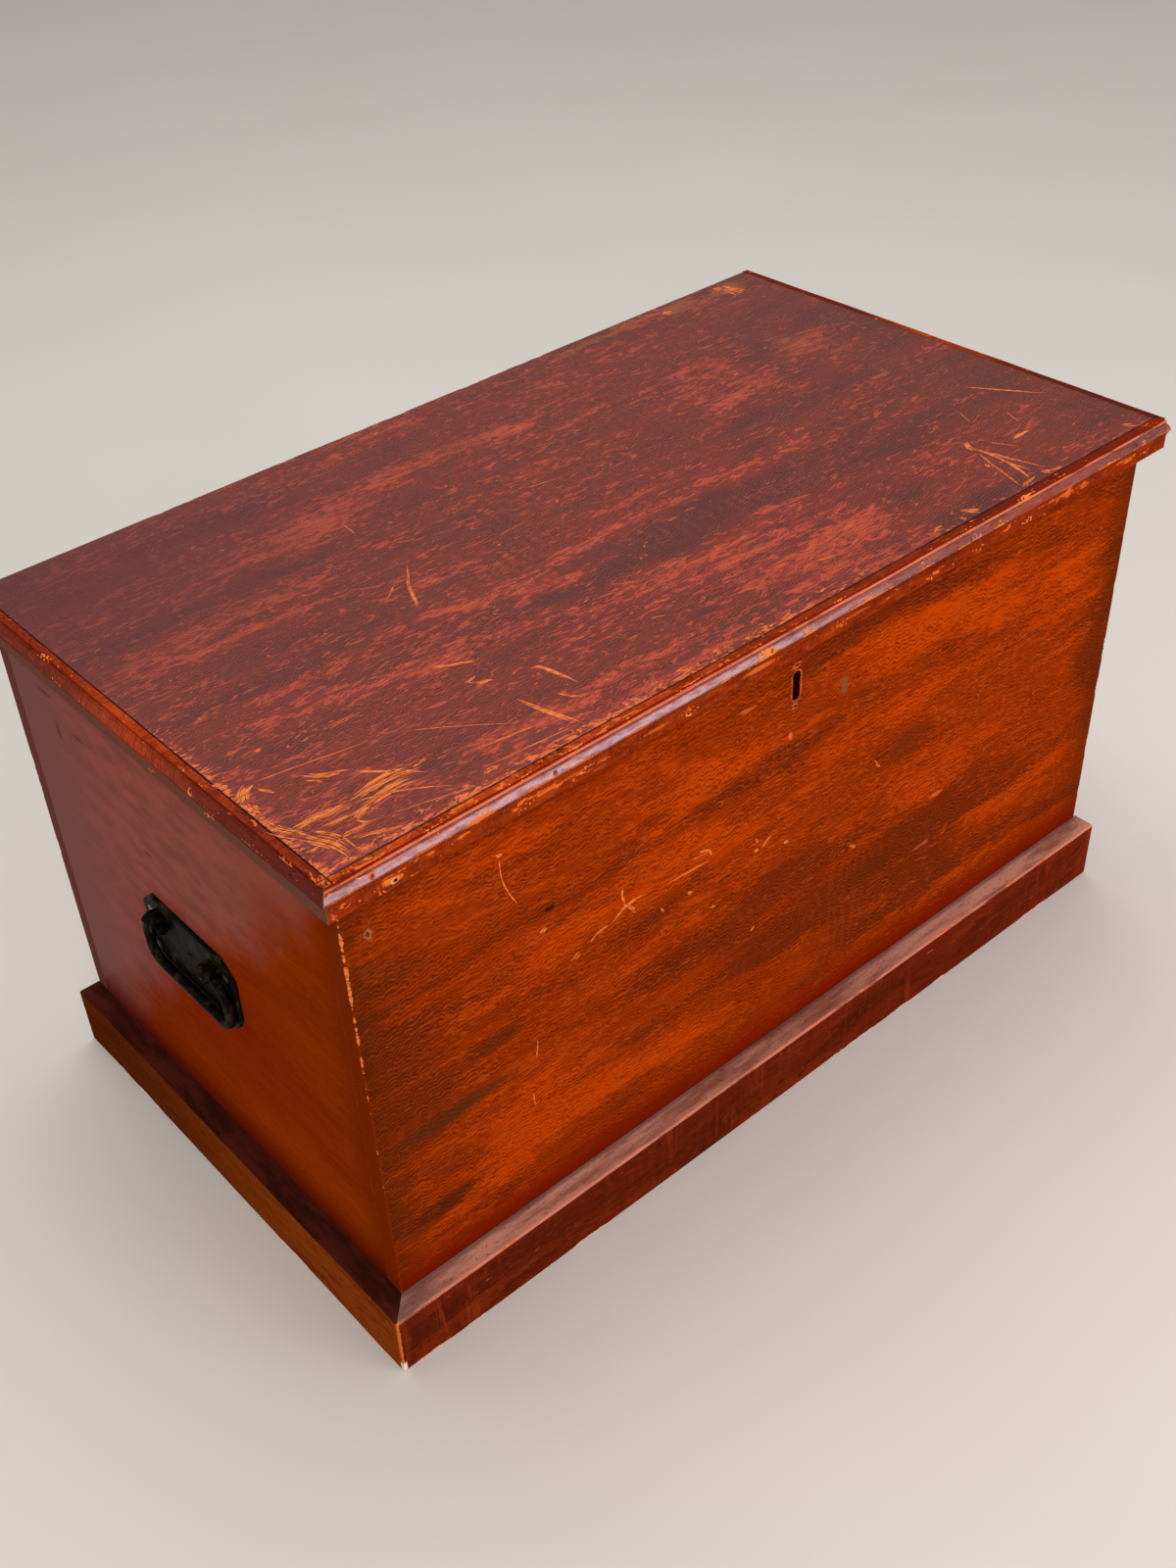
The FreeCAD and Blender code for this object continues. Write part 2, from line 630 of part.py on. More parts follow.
def handle(side):
    """A whole handle on one end of the chest. Returns the screws, which also cut their holes in the end."""
    base_y = "datum.y_mid - chest.plate_width / 2"
    face = "datum.x_%s" % side
    plate = slab(side + "_plate_body", "YZ_Plane", (base_y, "chest.handle_base_height", face),
                 "chest.plate_thickness", plate_corners(), backwards=side == "left")
    edge_chamfer(plate, side + "_plate_rim", outward(side, "chest.plate_thickness"), "chest.plate_bevel")
    outer = "left" if side == "left" else "right"
    boss = cone(side + "_plate_boss", "chest.boss_radius", "chest.boss_radius - chest.boss_rise",
                "chest.boss_rise", outward(side, "chest.plate_thickness"), "datum.y_mid",
                "chest.handle_base_height + chest.boss_height", outer)
    blocks = lug(side, "front", "-") + lug(side, "back", "+") + [boss]
    casting = join(side + "_plate_casting", [plate] + blocks)
    bore = rod(side + "_lug_bore", "chest.bail_pin_radius + chest.bail_running_gap",
               "2 * datum.lug_offset + 2 * chest.cheek_width", outward(side, "datum.pivot_reach"),
               "datum.y_mid - datum.lug_offset - chest.cheek_width", "datum.z_pivot", "back")
    spots = []
    for share in (UPPER_SCREW_HEIGHT_SHARE, LOWER_SCREW_HEIGHT_SHARE):
        for sign in "-+":
            spots.append((outward(side, "chest.plate_thickness"),
                          "datum.y_mid %s (chest.plate_width / 2 - chest.plate_screw_inset)" % sign,
                          "chest.handle_base_height + %r * chest.plate_height" % share))
    inward = "right" if side == "left" else "left"
    screws = screw_set(side + "_handle_screws", "handle", spots, inward, "z")
    keep(side + "_handle_plate", cut(side + "_plate_drilled", casting, [bore, screws]))
    bail(side)
    return screws


handle_screws = {side: handle(side) for side in ("left", "right")}

# Butt hinges let into the back board's top edge and the lid's underside, their knuckles outside the back.


def hinge(side, x_low):
    """One hinge. Returns what its mortises and screws take out of the back board and of the lid."""
    total = int(SIZES["knuckle_count"])
    pitch = "(chest.leaf_length / chest.knuckle_count)"
    clear = "chest.knuckle_end_gap"
    leaves = {"body": ("datum.z_lid - chest.leaf_thickness", 0), "lid": ("datum.z_lid", 1)}
    removed = {}
    for name, (z, parity) in leaves.items():
        label = "%s_hinge_%s_leaf" % (side, name)
        flat = box(label + "_flat", "chest.leaf_length", "chest.leaf_width", "chest.leaf_thickness",
                   x_low, "datum.y_back - chest.leaf_width", z)
        pieces = [flat]
        for number in range(parity, total, 2):
            knuckle_x = "%s + %d * %s + %s / 2" % (x_low, number, pitch, clear)
            knuckle_long = "%s - %s" % (pitch, clear)
            pieces.append(rod("%s_knuckle_%d" % (label, number), "chest.knuckle_radius", knuckle_long,
                              knuckle_x, "datum.y_hinge", "datum.z_lid", "right"))
            pieces.append(box("%s_tab_%d" % (label, number), knuckle_long,
                              "datum.y_hinge - datum.y_back", "chest.leaf_thickness",
                              knuckle_x, "datum.y_back", z))
        bore = rod(label + "_bore", "chest.hinge_pin_radius + chest.hinge_running_gap",
                   "chest.leaf_length + 2 * chest.overrun", "%s - chest.overrun" % x_low,
                   "datum.y_hinge", "datum.z_lid", "right")
        spots = []
        for step in (-1, 0, 1):
            spots.append(("%s + chest.leaf_length / 2 + %d * chest.hinge_screw_pitch" % (x_low, step),
                          "datum.y_back - chest.hinge_screw_margin", "datum.z_lid"))
        turn = "down" if name == "body" else "up"
        screws = screw_set("%s_hinge_%s_screws" % (side, name), "hinge", spots, turn, "x")
        keep(label, cut(label + "_drilled", join(label + "_blank", pieces), [bore, screws]))
        removed[name] = [box(label + "_mortise", "chest.leaf_length", "chest.leaf_width",
                             "chest.leaf_thickness", x_low, "datum.y_back - chest.leaf_width", z), screws]
    keep(side + "_hinge_pin", rod(side + "_hinge_pin_rod", "chest.hinge_pin_radius", "chest.leaf_length",
                                  x_low, "datum.y_hinge", "datum.z_lid", "right"))
    return removed


left_hinge = hinge("left", "datum.x_left + chest.hinge_inset")
right_hinge = hinge("right", "datum.x_right - chest.hinge_inset - chest.leaf_length")

# Box lock: a bent plate with a case on its front, and the bolt, spring and key pin between them.


def keyhole(name, grow, y, length):
    """A keyhole as a tool: a round head over a straight slot, run along Y."""
    head = rod(name + "_head", "chest.keyhole_head_radius + %s" % grow, length,
               "datum.x_mid", y, "datum.z_keyhole_head", "back")
    slot = box(name + "_slot", "chest.keyhole_slot_width + 2 * (%s)" % grow, length,
               "chest.keyhole_height - chest.keyhole_head_radius + %s" % grow,
               "datum.x_mid - chest.keyhole_slot_width / 2 - (%s)" % grow, y, "datum.z_keyhole_low - (%s)" % grow)
    return join(name, [head, slot])


staple_slot = box(
    "staple_slot", "chest.staple_thickness + 2 * chest.staple_slot_side_gap",
    "datum.staple_width + chest.staple_slot_front_gap + chest.staple_slot_gap",
    "2 * chest.overrun",
    "datum.x_staple - chest.staple_slot_side_gap",
    "datum.y_staple - datum.staple_width / 2 - chest.staple_slot_front_gap",
    "datum.z_lid - chest.overrun")
lock_upright = box("lock_upright", "chest.lock_plate_width", "chest.lock_plate_thickness",
                   "chest.lock_plate_height", "datum.x_mid - chest.lock_plate_width / 2", "datum.y_lock",
                   "datum.z_lid - chest.lock_plate_height")
selvedge = box("lock_selvedge", "chest.lock_plate_width", "chest.board_thickness - chest.selvedge_margin",
               "chest.lock_plate_thickness", "datum.x_mid - chest.lock_plate_width / 2",
               "datum.y_front + chest.selvedge_margin", "datum.z_case")
lock_blank = join("lock_blank", [lock_upright, selvedge])
stud_z = "datum.z_bolt - chest.stud_gap - chest.stud_radius"
stud_spots = ("datum.x_mid - chest.talon_start - chest.stud_radius",
              "datum.x_mid + chest.bolt_length - chest.bolt_tail + chest.stud_radius")
studs = [rod("lock_stud_%d" % number, "chest.stud_radius", "chest.stud_length", x, "datum.y_lock", stud_z, "front")
         for number, x in enumerate(stud_spots, start=1)]
screw_columns = ("datum.x_mid - chest.lock_plate_width / 2 + chest.lock_screw_side",
                 "datum.x_mid + chest.lock_plate_width / 2 - chest.lock_screw_side")
screw_rows = ("datum.z_lid - chest.lock_plate_height + chest.lock_screw_end",
              "datum.z_lid - chest.lock_plate_thickness - chest.lock_screw_end")
lock_screws = screw_set("lock_screws", "lock",
                        [(x, "datum.y_in_front", z) for x in screw_columns for z in screw_rows], "front", "x")
keep("lock_plate", cut("lock_plate_cut", join("lock_plate_studded", [lock_blank] + studs),
                       [staple_slot, lock_screws]))

case_x = "datum.x_mid - chest.case_width / 2"
case_outer = box("case_outer", "chest.case_width", "chest.case_depth", "chest.case_height",
                 case_x, "datum.y_case", "datum.z_case - chest.case_height")
case_inner = box("case_inner", "chest.case_width - 2 * chest.case_wall",
                 "chest.case_depth - chest.case_wall + chest.overrun",
                 "chest.case_height - 2 * chest.case_wall", "%s + chest.case_wall" % case_x,
                 "datum.y_case + chest.case_wall", "datum.z_case - chest.case_height + chest.case_wall")
case_hole = keyhole("case_keyhole", "chest.case_keyhole_gap", "datum.y_case - chest.overrun",
                    "chest.case_wall + 2 * chest.overrun")
keep("lock_case", cut("lock_case_cut", case_outer, [join("case_hollow", [case_inner, case_hole, staple_slot])]))

keep("lock_key_pin", rod("lock_key_pin_rod", "chest.key_pin_radius", "chest.key_pin_length",
                         "datum.x_mid", "datum.y_lock", "datum.z_keyhole_head", "front"))

bolt_x = "datum.x_mid - chest.bolt_tail"
bolt_bar = box("bolt_bar", "chest.bolt_length", "chest.bolt_thickness", "chest.bolt_height",
               bolt_x, "datum.y_bolt", "datum.z_bolt")
bolt_nose = box("bolt_nose", "chest.bolt_length + chest.nose_length", "chest.nose_thickness",
                "chest.nose_height", bolt_x, "datum.y_bolt", "datum.z_nose")
bolt_talon = box("bolt_talon", "chest.talon_length", "chest.bolt_thickness",
                 "chest.talon_height + chest.bolt_height",
                 "%s + chest.talon_start" % bolt_x, "datum.y_bolt", "datum.z_bolt - chest.talon_height")
keep("lock_bolt", join("lock_bolt_forging", [bolt_bar, bolt_nose, bolt_talon]))

spring_drop = "(chest.bolt_drop - chest.lock_plate_thickness - chest.case_wall - chest.bolt_gap)"
keep("lock_spring", slab(
    "lock_spring_strip", "XZ_Plane",
    (bolt_x, "datum.z_case - chest.case_wall - %s" % spring_drop, "-datum.y_bolt"),
    "chest.bolt_thickness",
    [("0", "%s - chest.spring_strip" % spring_drop), ("chest.spring_length", "0"),
     ("chest.spring_length", "chest.spring_strip"), ("0", spring_drop)],
    backwards=True))

# Link plate under the lid, with the staple that drops into the lock.

link_x = "datum.x_staple + chest.staple_thickness / 2"
link_flat = box("link_flat", "chest.link_length", "chest.link_width", "chest.link_thickness",
                "%s - chest.link_length / 2" % link_x, "datum.y_staple - chest.link_width / 2", "datum.z_lid")
staple_low = "datum.z_staple_hole - chest.staple_foot"
staple_block = box("staple_block", "chest.staple_thickness", "datum.staple_width",
                   "datum.z_lid + chest.link_thickness - (%s)" % staple_low,
                   "datum.x_staple", "datum.y_staple - datum.staple_width / 2", staple_low)
staple_eye = box("staple_eye", "chest.staple_thickness + 2 * chest.overrun", "chest.staple_hole_width",
                 "chest.staple_hole_height", "datum.x_staple - chest.overrun",
                 "datum.y_staple - chest.staple_hole_width / 2", "datum.z_staple_hole")
link_screws = screw_set("link_plate_screws", "lock", [
    ("%s %s chest.link_screw_pitch / 2" % (link_x, sign), "datum.y_staple", "datum.z_lid") for sign in "-+"],
    "up", "y")
keep("link_plate", cut("link_plate_cut", join("link_plate_blank", [link_flat, staple_block]),
                       [staple_eye, link_screws]))

# Carcass boards: the front and the back run the whole length, the ends stand between them.

front_block = box("front_block", "chest.body_length", "chest.board_thickness", "chest.carcass_height",
                  "datum.x_left", "datum.y_front", "0")
front_hole = keyhole("front_keyhole", "0", "datum.y_front - chest.overrun",
                     "chest.board_thickness + chest.overrun")
pin_holes = [rod("pin_hole_%d" % number, "chest.pin_hole_radius", "chest.pin_hole_depth + chest.overrun",
                 "datum.x_mid", "datum.y_front - chest.overrun", z, "back")
             for number, z in enumerate(("datum.z_keyhole_top + chest.pin_hole_gap",
                                         "datum.z_keyhole_low - chest.pin_hole_gap"), start=1)]
mortise = box("lock_mortise", "chest.case_width + 2 * chest.mortise_gap",
              "chest.case_depth + chest.mortise_gap + chest.lock_plate_thickness",
              "chest.case_height + chest.mortise_gap + chest.lock_plate_thickness",
              "%s - chest.mortise_gap" % case_x, "datum.y_case - chest.mortise_gap",
              "datum.z_case - chest.case_height - chest.mortise_gap")
front_recess = join("front_recess", [front_hole, mortise, lock_blank])
keep("front_board", cut("front_board_cut", front_block,
                        [front_recess, lock_screws, group("front_small_holes", pin_holes)]
                        + front_nail_columns[0] + front_nail_columns[1] + plinth_front_nails))

back_block = box("back_block", "chest.body_length", "chest.board_thickness", "chest.carcass_height",
                 "datum.x_left", "datum.y_in_back", "0")
keep("back_board", cut("back_board_cut", back_block,
                       left_hinge["body"] + right_hinge["body"] + back_nail_columns[0] + back_nail_columns[1]))


def end_board(side, x, column, extra):
    block = box(side + "_end_block", "chest.board_thickness", "datum.inner_depth", "chest.carcass_height",
                x, "datum.y_in_front", "0")
    tools = front_nail_columns[column] + back_nail_columns[column] + [handle_screws[side]] + extra
    keep(side + "_end", cut(side + "_end_cut", block, tools))


end_board("left", "datum.x_left", 0, plinth_left_nails)
end_board("right", "datum.x_in_right", 1, [])

# Lid: one wide board, and the moulding round its front and ends, mitred at the two front corners.

nose = "(chest.lid_lap + chest.moulding_width)"
PROFILE = [
    ("0", "0"),
    ("chest.moulding_foot_width", "0"),
    ("chest.moulding_foot_width", "chest.moulding_foot_height"),
    ("chest.moulding_width", "chest.moulding_nose_low"),
    ("chest.moulding_width", "chest.moulding_nose_high"),
    ("chest.moulding_top_width", "chest.moulding_height - chest.moulding_step"),
    ("chest.moulding_top_width", "chest.moulding_height"),
    ("0", "chest.moulding_height"),
]
PROFILE_ARCS = {2: ("chest.moulding_cove_radius", 1), 4: ("chest.moulding_nose_radius", -1)}


def profile(flipped):
    """The moulding's section, measured out from the lid's edge, or in from the nose where flipped."""
    if not flipped:
        return PROFILE, PROFILE_ARCS
    corners = [("chest.moulding_width - (%s)" % out, up) for out, up in PROFILE]
    return corners, {number: (radius, -side) for number, (radius, side) in PROFILE_ARCS.items()}


def moulding(name, role, offset, length, flipped, backwards, mitre_offset, mitres):
    corners, arcs = profile(flipped)
    body = slab(name + "_strip", role, offset, length, corners, arcs, backwards)
    return pocket(body, name + "_mitre", "XY_Plane", mitre_offset, mitres)


side_length = "(chest.body_depth + %s)" % nose
front_length = "(chest.body_length + 2 * %s)" % nose
x_nose_left = "datum.x_left - %s" % nose
x_nose_right = "datum.x_right + %s" % nose
y_nose = "datum.y_front - %s" % nose
above = "datum.z_top + chest.overrun"
wide = "chest.moulding_width"

moulding_nail_z = "datum.z_moulding + chest.moulding_nail_rise"
front_moulding_nails = nail_row("front_moulding_nail", "chest.moulding_nail_length", [
    ("datum.x_left + %r * chest.body_length" % share, y_nose, moulding_nail_z)
    for share in FRONT_NAIL_SHARES], "back")
side_moulding_nails = {}
for side, x, turn in (("left", x_nose_left, "right"), ("right", x_nose_right, "left")):
    side_moulding_nails[side] = nail_row(side + "_moulding_nail", "chest.moulding_nail_length", [
        (x, "datum.y_front + %r * chest.body_depth" % share, moulding_nail_z)
        for share in SIDE_NAIL_SHARES], turn)

front_strip = moulding(
    "front_moulding", "YZ_Plane", (y_nose, "datum.z_moulding", x_nose_left), front_length, True, False,
    (x_nose_left, y_nose, above),
    [[("0", "0"), (wide, wide), ("0", wide)],
     [(front_length, "0"), (front_length, wide), ("%s - %s" % (front_length, wide), wide)]])
left_strip = moulding(
    "left_moulding", "XZ_Plane", (x_nose_left, "datum.z_moulding", "-(%s)" % y_nose), side_length, True, True,
    (x_nose_left, y_nose, above), [[("0", "0"), (wide, "0"), (wide, wide)]])
right_strip = moulding(
    "right_moulding", "XZ_Plane", ("datum.x_right + chest.lid_lap", "datum.z_moulding", "-(%s)" % y_nose),
    side_length, False, True,
    ("datum.x_right + chest.lid_lap", y_nose, above), [[("0", "0"), (wide, "0"), ("0", wide)]])
keep("lid_moulding_front", cut("front_moulding_drilled", front_strip, front_moulding_nails))
keep("lid_moulding_left", cut("left_moulding_drilled", left_strip, side_moulding_nails["left"]))
keep("lid_moulding_right", cut("right_moulding_drilled", right_strip, side_moulding_nails["right"]))
lid_nails = front_moulding_nails + side_moulding_nails["left"] + side_moulding_nails["right"]
keep("moulding_nails", group("moulding_nail_group", lid_nails))

lid_block = box("lid_block", "chest.body_length + 2 * chest.lid_lap", "chest.body_depth + chest.lid_lap",
                "chest.lid_thickness", "datum.x_left - chest.lid_lap", "datum.y_front - chest.lid_lap",
                "datum.z_lid")
keep("lid_board", cut("lid_board_cut", lid_block,
                      [link_flat, link_screws] + left_hinge["lid"] + right_hinge["lid"] + lid_nails))

# Check every object, then write one file for each piece.

doc.recompute()
faults = []
for item in doc.Objects:
    if "Invalid" in item.State or "Error" in item.State:
        faults.append("%s is %s" % (item.Name, item.State))
for name, item in nodes.items():
    if item.Shape.isNull() or not item.Shape.isValid() or not item.Shape.Solids:
        faults.append("%s has no valid solid" % name)
if faults:
    raise RuntimeError("; ".join(faults))

os.makedirs("parts", exist_ok=True)
for name, item in nodes.items():
    item.Shape.exportStep(os.path.join("parts", name + ".step"))
    print("%-26s %2d solids %12.1f mm3" % (name, len(item.Shape.Solids), item.Shape.Volume))
print(len(nodes), "pieces")
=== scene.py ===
# %% [markdown]
# # A painted pine chest
# The chest is a plain box of wide pine boards with a hinged lid, a nailed moulding round the lid and a
# plinth round the foot. Its paint was dragged with a comb while it was wet, so that it looks like a richer
# wood, and then varnished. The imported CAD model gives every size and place. This script keeps its small
# iron pieces as they are and gives the boards worn edges, chips, scratches and paint.

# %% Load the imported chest
import math

import bpy
import numpy as np
from mathutils import Matrix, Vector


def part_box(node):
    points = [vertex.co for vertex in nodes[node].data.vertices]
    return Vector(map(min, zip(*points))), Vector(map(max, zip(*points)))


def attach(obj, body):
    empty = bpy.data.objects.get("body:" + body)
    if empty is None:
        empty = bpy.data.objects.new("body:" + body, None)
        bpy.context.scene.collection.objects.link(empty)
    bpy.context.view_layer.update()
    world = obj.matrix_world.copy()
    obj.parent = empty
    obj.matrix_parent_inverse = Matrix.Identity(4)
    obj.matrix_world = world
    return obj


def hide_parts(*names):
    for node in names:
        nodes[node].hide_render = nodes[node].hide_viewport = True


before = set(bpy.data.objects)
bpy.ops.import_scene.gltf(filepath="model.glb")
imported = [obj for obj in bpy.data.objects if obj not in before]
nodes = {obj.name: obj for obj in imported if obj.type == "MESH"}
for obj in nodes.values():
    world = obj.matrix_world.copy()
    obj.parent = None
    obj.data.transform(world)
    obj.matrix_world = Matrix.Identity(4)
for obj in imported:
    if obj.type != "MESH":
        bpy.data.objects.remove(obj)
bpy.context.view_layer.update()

# %% [markdown]
# ## Where the camera stands
# The photograph was taken by hand, standing at the chest's front left corner and looking down at it. The
# place, the turn and the lens were worked out from the chest's straight edges. The camera's three
# directions are found first, and then go into its matrix as columns.

# %% Camera
CAMERA_PLACE = (-0.87255, -1.02696, 1.26024)
TURN, TILT, ROLL = (math.radians(angle) for angle in (-37.24, 39.41, -4.44))
LENS_MM = 39.897
SHIFT = (0.0380, 0.0356)


def camera_directions(turn, tilt, roll):
    """Right, up and forward: forward is level, tipped down by the tilt, and all turn about the upright."""
    forward = np.array([0, math.cos(tilt), -math.sin(tilt)])
    up = np.array([0, math.sin(tilt), math.cos(tilt)])
    right = np.array([1.0, 0, 0])
    across = math.cos(roll) * right + math.sin(roll) * up
    above = -math.sin(roll) * right + math.cos(roll) * up
    spin = np.array([[math.cos(turn), -math.sin(turn), 0], [math.sin(turn), math.cos(turn), 0], [0, 0, 1]])
    return [spin @ direction for direction in (across, above, forward)]


across, above, forward = camera_directions(TURN, TILT, ROLL)
camera = bpy.data.objects.new("camera", bpy.data.cameras.new("camera"))
bpy.context.scene.collection.objects.link(camera)
camera.matrix_world = Matrix([[across[i], above[i], -forward[i], CAMERA_PLACE[i]] for i in range(3)]
                             + [[0, 0, 0, 1]])
camera.data.lens = LENS_MM
camera.data.sensor_width = 36
camera.data.shift_x, camera.data.shift_y = SHIFT
bpy.context.scene.camera = camera
print("camera looks along", np.round(forward, 3))

# %% [markdown]
# ## Small tools for materials
# A material in Blender is a net of nodes. These helpers add one node each, so that a finish reads as a few
# lines of sums. Colours are written as they look on screen, from 0 to 255, and are turned into the linear
# numbers that the renderer wants.

# %% Node helpers


def shade(red, green, blue):
    """A colour as it looks on screen, 0 to 255, as linear numbers: a power curve with a straight foot."""
    seen = np.array([red, green, blue]) / 255
    linear = np.where(seen <= 0.04045, seen / 12.92, ((seen + 0.055) / 1.055) ** 2.4)
    return (*linear.tolist(), 1.0)


def feed(tree, made, inputs):
    """Fill a node's inputs with numbers, colours or other nodes' outputs."""
    for name, given in inputs.items():
        if isinstance(given, bpy.types.NodeSocket):
            tree.links.new(given, made.inputs[name])
        else:
            made.inputs[name].default_value = given


def add(tree, kind, inputs=None, **settings):
    """Add a node, set it up and feed it."""
    made = tree.nodes.new(kind)
    for name, setting in settings.items():
        setattr(made, name, setting)
    feed(tree, made, inputs or {})
    return made


def maths(tree, operation, first, second=0.0, third=0.0):
    """One step of arithmetic on one, two or three numbers, by Blender's own name for it."""
    return add(tree, "ShaderNodeMath", {0: first, 1: second, 2: third}, operation=operation).outputs[0]


def plus(tree, first, second):
    """The sum of two numbers."""
    return maths(tree, "ADD", first, second)


def minus(tree, first, second):
    """The first number less the second."""
    return maths(tree, "SUBTRACT", first, second)


def times(tree, first, second):
    """The product of two numbers."""
    return maths(tree, "MULTIPLY", first, second)


def times_plus(tree, first, second, third):
    """The first number times the second, plus the third."""
    return maths(tree, "MULTIPLY_ADD", first, second, third)


def larger(tree, first, second):
    """The larger of two numbers."""
    return maths(tree, "MAXIMUM", first, second)


def away(tree, value, place):
    """How far a number is from a place: their difference without its sign."""
    return maths(tree, "ABSOLUTE", minus(tree, value, place))


def diagonal(tree, first, second):
    """The length over two sides that stand square: the root of the sum of their squares."""
    return maths(tree, "SQRT", times_plus(tree, first, first, times(tree, second, second)))


def scaled(tree, vector, factors):
    """A vector with each of its parts multiplied."""
    return add(tree, "ShaderNodeVectorMath", {0: vector, 1: factors}, operation="MULTIPLY").outputs[0]


def split(tree, vector):
    """A vector's three parts."""
    return add(tree, "ShaderNodeSeparateXYZ", {0: vector}).outputs


def join(tree, first, second, third):
    """Three numbers as a vector."""
    return add(tree, "ShaderNodeCombineXYZ", {0: first, 1: second, 2: third}).outputs[0]


def object_place(tree):
    """The place on the chest, in metres."""
    return add(tree, "ShaderNodeTexCoord").outputs["Object"]


def object_parts(tree):
    """The place on the chest as x, y and z."""
    return split(tree, object_place(tree))


def attribute(tree, name):
    """A number that the mesh carries at each of its points."""
    return add(tree, "ShaderNodeAttribute", attribute_name=name).outputs["Fac"]


def cloud(tree, vector, detail, scale=1.0, rough=0.55, warp=0.0):
    """Soft noise between about 0.2 and 0.8. Each step of detail adds noise of half the length."""
    return add(tree, "ShaderNodeTexNoise", {"Vector": vector, "Scale": scale, "Detail": detail,
                                            "Roughness": rough, "Distortion": warp}).outputs[0]


def ramp(tree, given, low, high, start=0.0, end=1.0):
    """A smooth step: start at low, end at high. With low above high, it steps as the number falls."""
    made = add(tree, "ShaderNodeMapRange", {"Value": given, "From Min": low, "From Max": high,
                                            "To Min": start, "To Max": end}, interpolation_type="SMOOTHSTEP")
    return made.outputs[0]


def between(tree, given, rise, fall):
    """A band: one smooth step up times one smooth step down."""
    return times(tree, ramp(tree, given, *rise), ramp(tree, given, *fall))


def blend(tree, share, first, second):
    """Two colours mixed by a share."""
    return add(tree, "ShaderNodeMix", {0: share, 6: first, 7: second}, data_type="RGBA").outputs[2]


def lay(tree, paint, colour, mask, most=None):
    """A colour as it looks on screen, laid over the paint where the mask is 1, at the most by a share."""
    share = mask if most is None else times(tree, mask, most)
    return blend(tree, share, paint, shade(*colour))


def bump(tree, height, distance):
    """A height as a tilt of the surface. The distance is how deep a height of 1 is, in metres."""
    return add(tree, "ShaderNodeBump", {"Height": height, "Distance": distance, "Strength": 1.0}).outputs[0]


print("a warm orange is", np.round(shade(225, 120, 55), 3))

# %% [markdown]
# ## Effects that several finishes share
# The comb marks, the drifts of darker and lighter paint and the colour of bare old pine are used by more
# than one finish. Each is a node group with named inputs and outputs. Every group reads board coordinates:
# the first number runs along the board, the second across it and the third into it, in metres.

# %% Group helper


def node_group(name, inputs, outputs):
    """A shader node group with the sockets named here. Gives the tree, its input node and its output node."""
    tree = bpy.data.node_groups.new(name, "ShaderNodeTree")
    for label, kind, start in inputs:
        made = tree.interface.new_socket(label, in_out="INPUT", socket_type="NodeSocket" + kind)
        if start is not None:
            made.default_value = start
    for label, kind in outputs:
        tree.interface.new_socket(label, in_out="OUTPUT", socket_type="NodeSocket" + kind)
    return tree, add(tree, "NodeGroupInput"), add(tree, "NodeGroupOutput")


def use(tree, group, inputs):
    """Place a group in a material, with its own values, and give its outputs."""
    return add(tree, "ShaderNodeGroup", inputs, node_tree=group).outputs


# %% Comb marks
ARCH_PITCH = 0.0117


def make_comb_marks():
    """
    Wavy ridges left by a comb. A ridge's phase is its place across the board, lifted by small arches that
    repeat along the board and bent by soft noise, times the ridges in a metre. Its height is a sine of that
    phase. The arches are the size of a sine, the hand's steady shake. Patches of noise let all come and go.
    """
    tree, given, put = node_group(
        "comb_marks",
        [("Board", "Vector", None), ("Ridges per metre", "Float", 230.0), ("Wander", "Float", 0.004),
         ("Arch", "Float", 0.002), ("Cover", "Float", 0.5)],
        [("Height", "Float"), ("Groove", "Float"), ("Crest", "Float"), ("Ladder", "Float")])
    board = given.outputs["Board"]
    parts = split(tree, board)
    slow = cloud(tree, scaled(tree, board, (24, 34, 34)), detail=1.0, warp=0.4)
    quick = cloud(tree, scaled(tree, board, (95, 105, 105)), detail=2.0, warp=0.8)
    bend = times_plus(tree, minus(tree, slow, 0.5), 2.2, times(tree, minus(tree, quick, 0.5), 1.5))
    shake = times_plus(tree, parts[0], math.pi / ARCH_PITCH, times(tree, slow, 6.0))
    arch = maths(tree, "ABSOLUTE", maths(tree, "SINE", shake))
    place = times_plus(tree, bend, given.outputs["Wander"], parts[1])
    place = minus(tree, place, times(tree, arch, given.outputs["Arch"]))
    phase = times(tree, times(tree, place, given.outputs["Ridges per metre"]), math.tau)
    wave = times_plus(tree, maths(tree, "SINE", phase), 0.5, 0.5)
    patches = cloud(tree, scaled(tree, board, (13, 48, 48)), detail=4.5, rough=0.7)
    start = minus(tree, 0.72, times(tree, given.outputs["Cover"], 0.5))
    there = ramp(tree, minus(tree, patches, start), -0.1, 0.12)
    fine = cloud(tree, scaled(tree, board, (320, 520, 520)), detail=3.0)
    there = times(tree, there, ramp(tree, fine, 0.36, 0.58, 0.1, 1.0))
    bands = cloud(tree, scaled(tree, board, (6, 15, 15)), detail=2.0)
    feed(tree, put, {
        "Height": times_plus(tree, fine, 0.25, times(tree, wave, there)),
        "Groove": times(tree, ramp(tree, wave, 0.55, 0.05), there),
        "Crest": times(tree, ramp(tree, wave, 0.6, 1.0), there),
        "Ladder": times(tree, ramp(tree, arch, 1.0, 0.0), ramp(tree, bands, 0.5, 0.62))})
    return tree


comb_marks = make_comb_marks()
print("comb marks:", len(comb_marks.nodes), "nodes")

# %% Drifts of paint


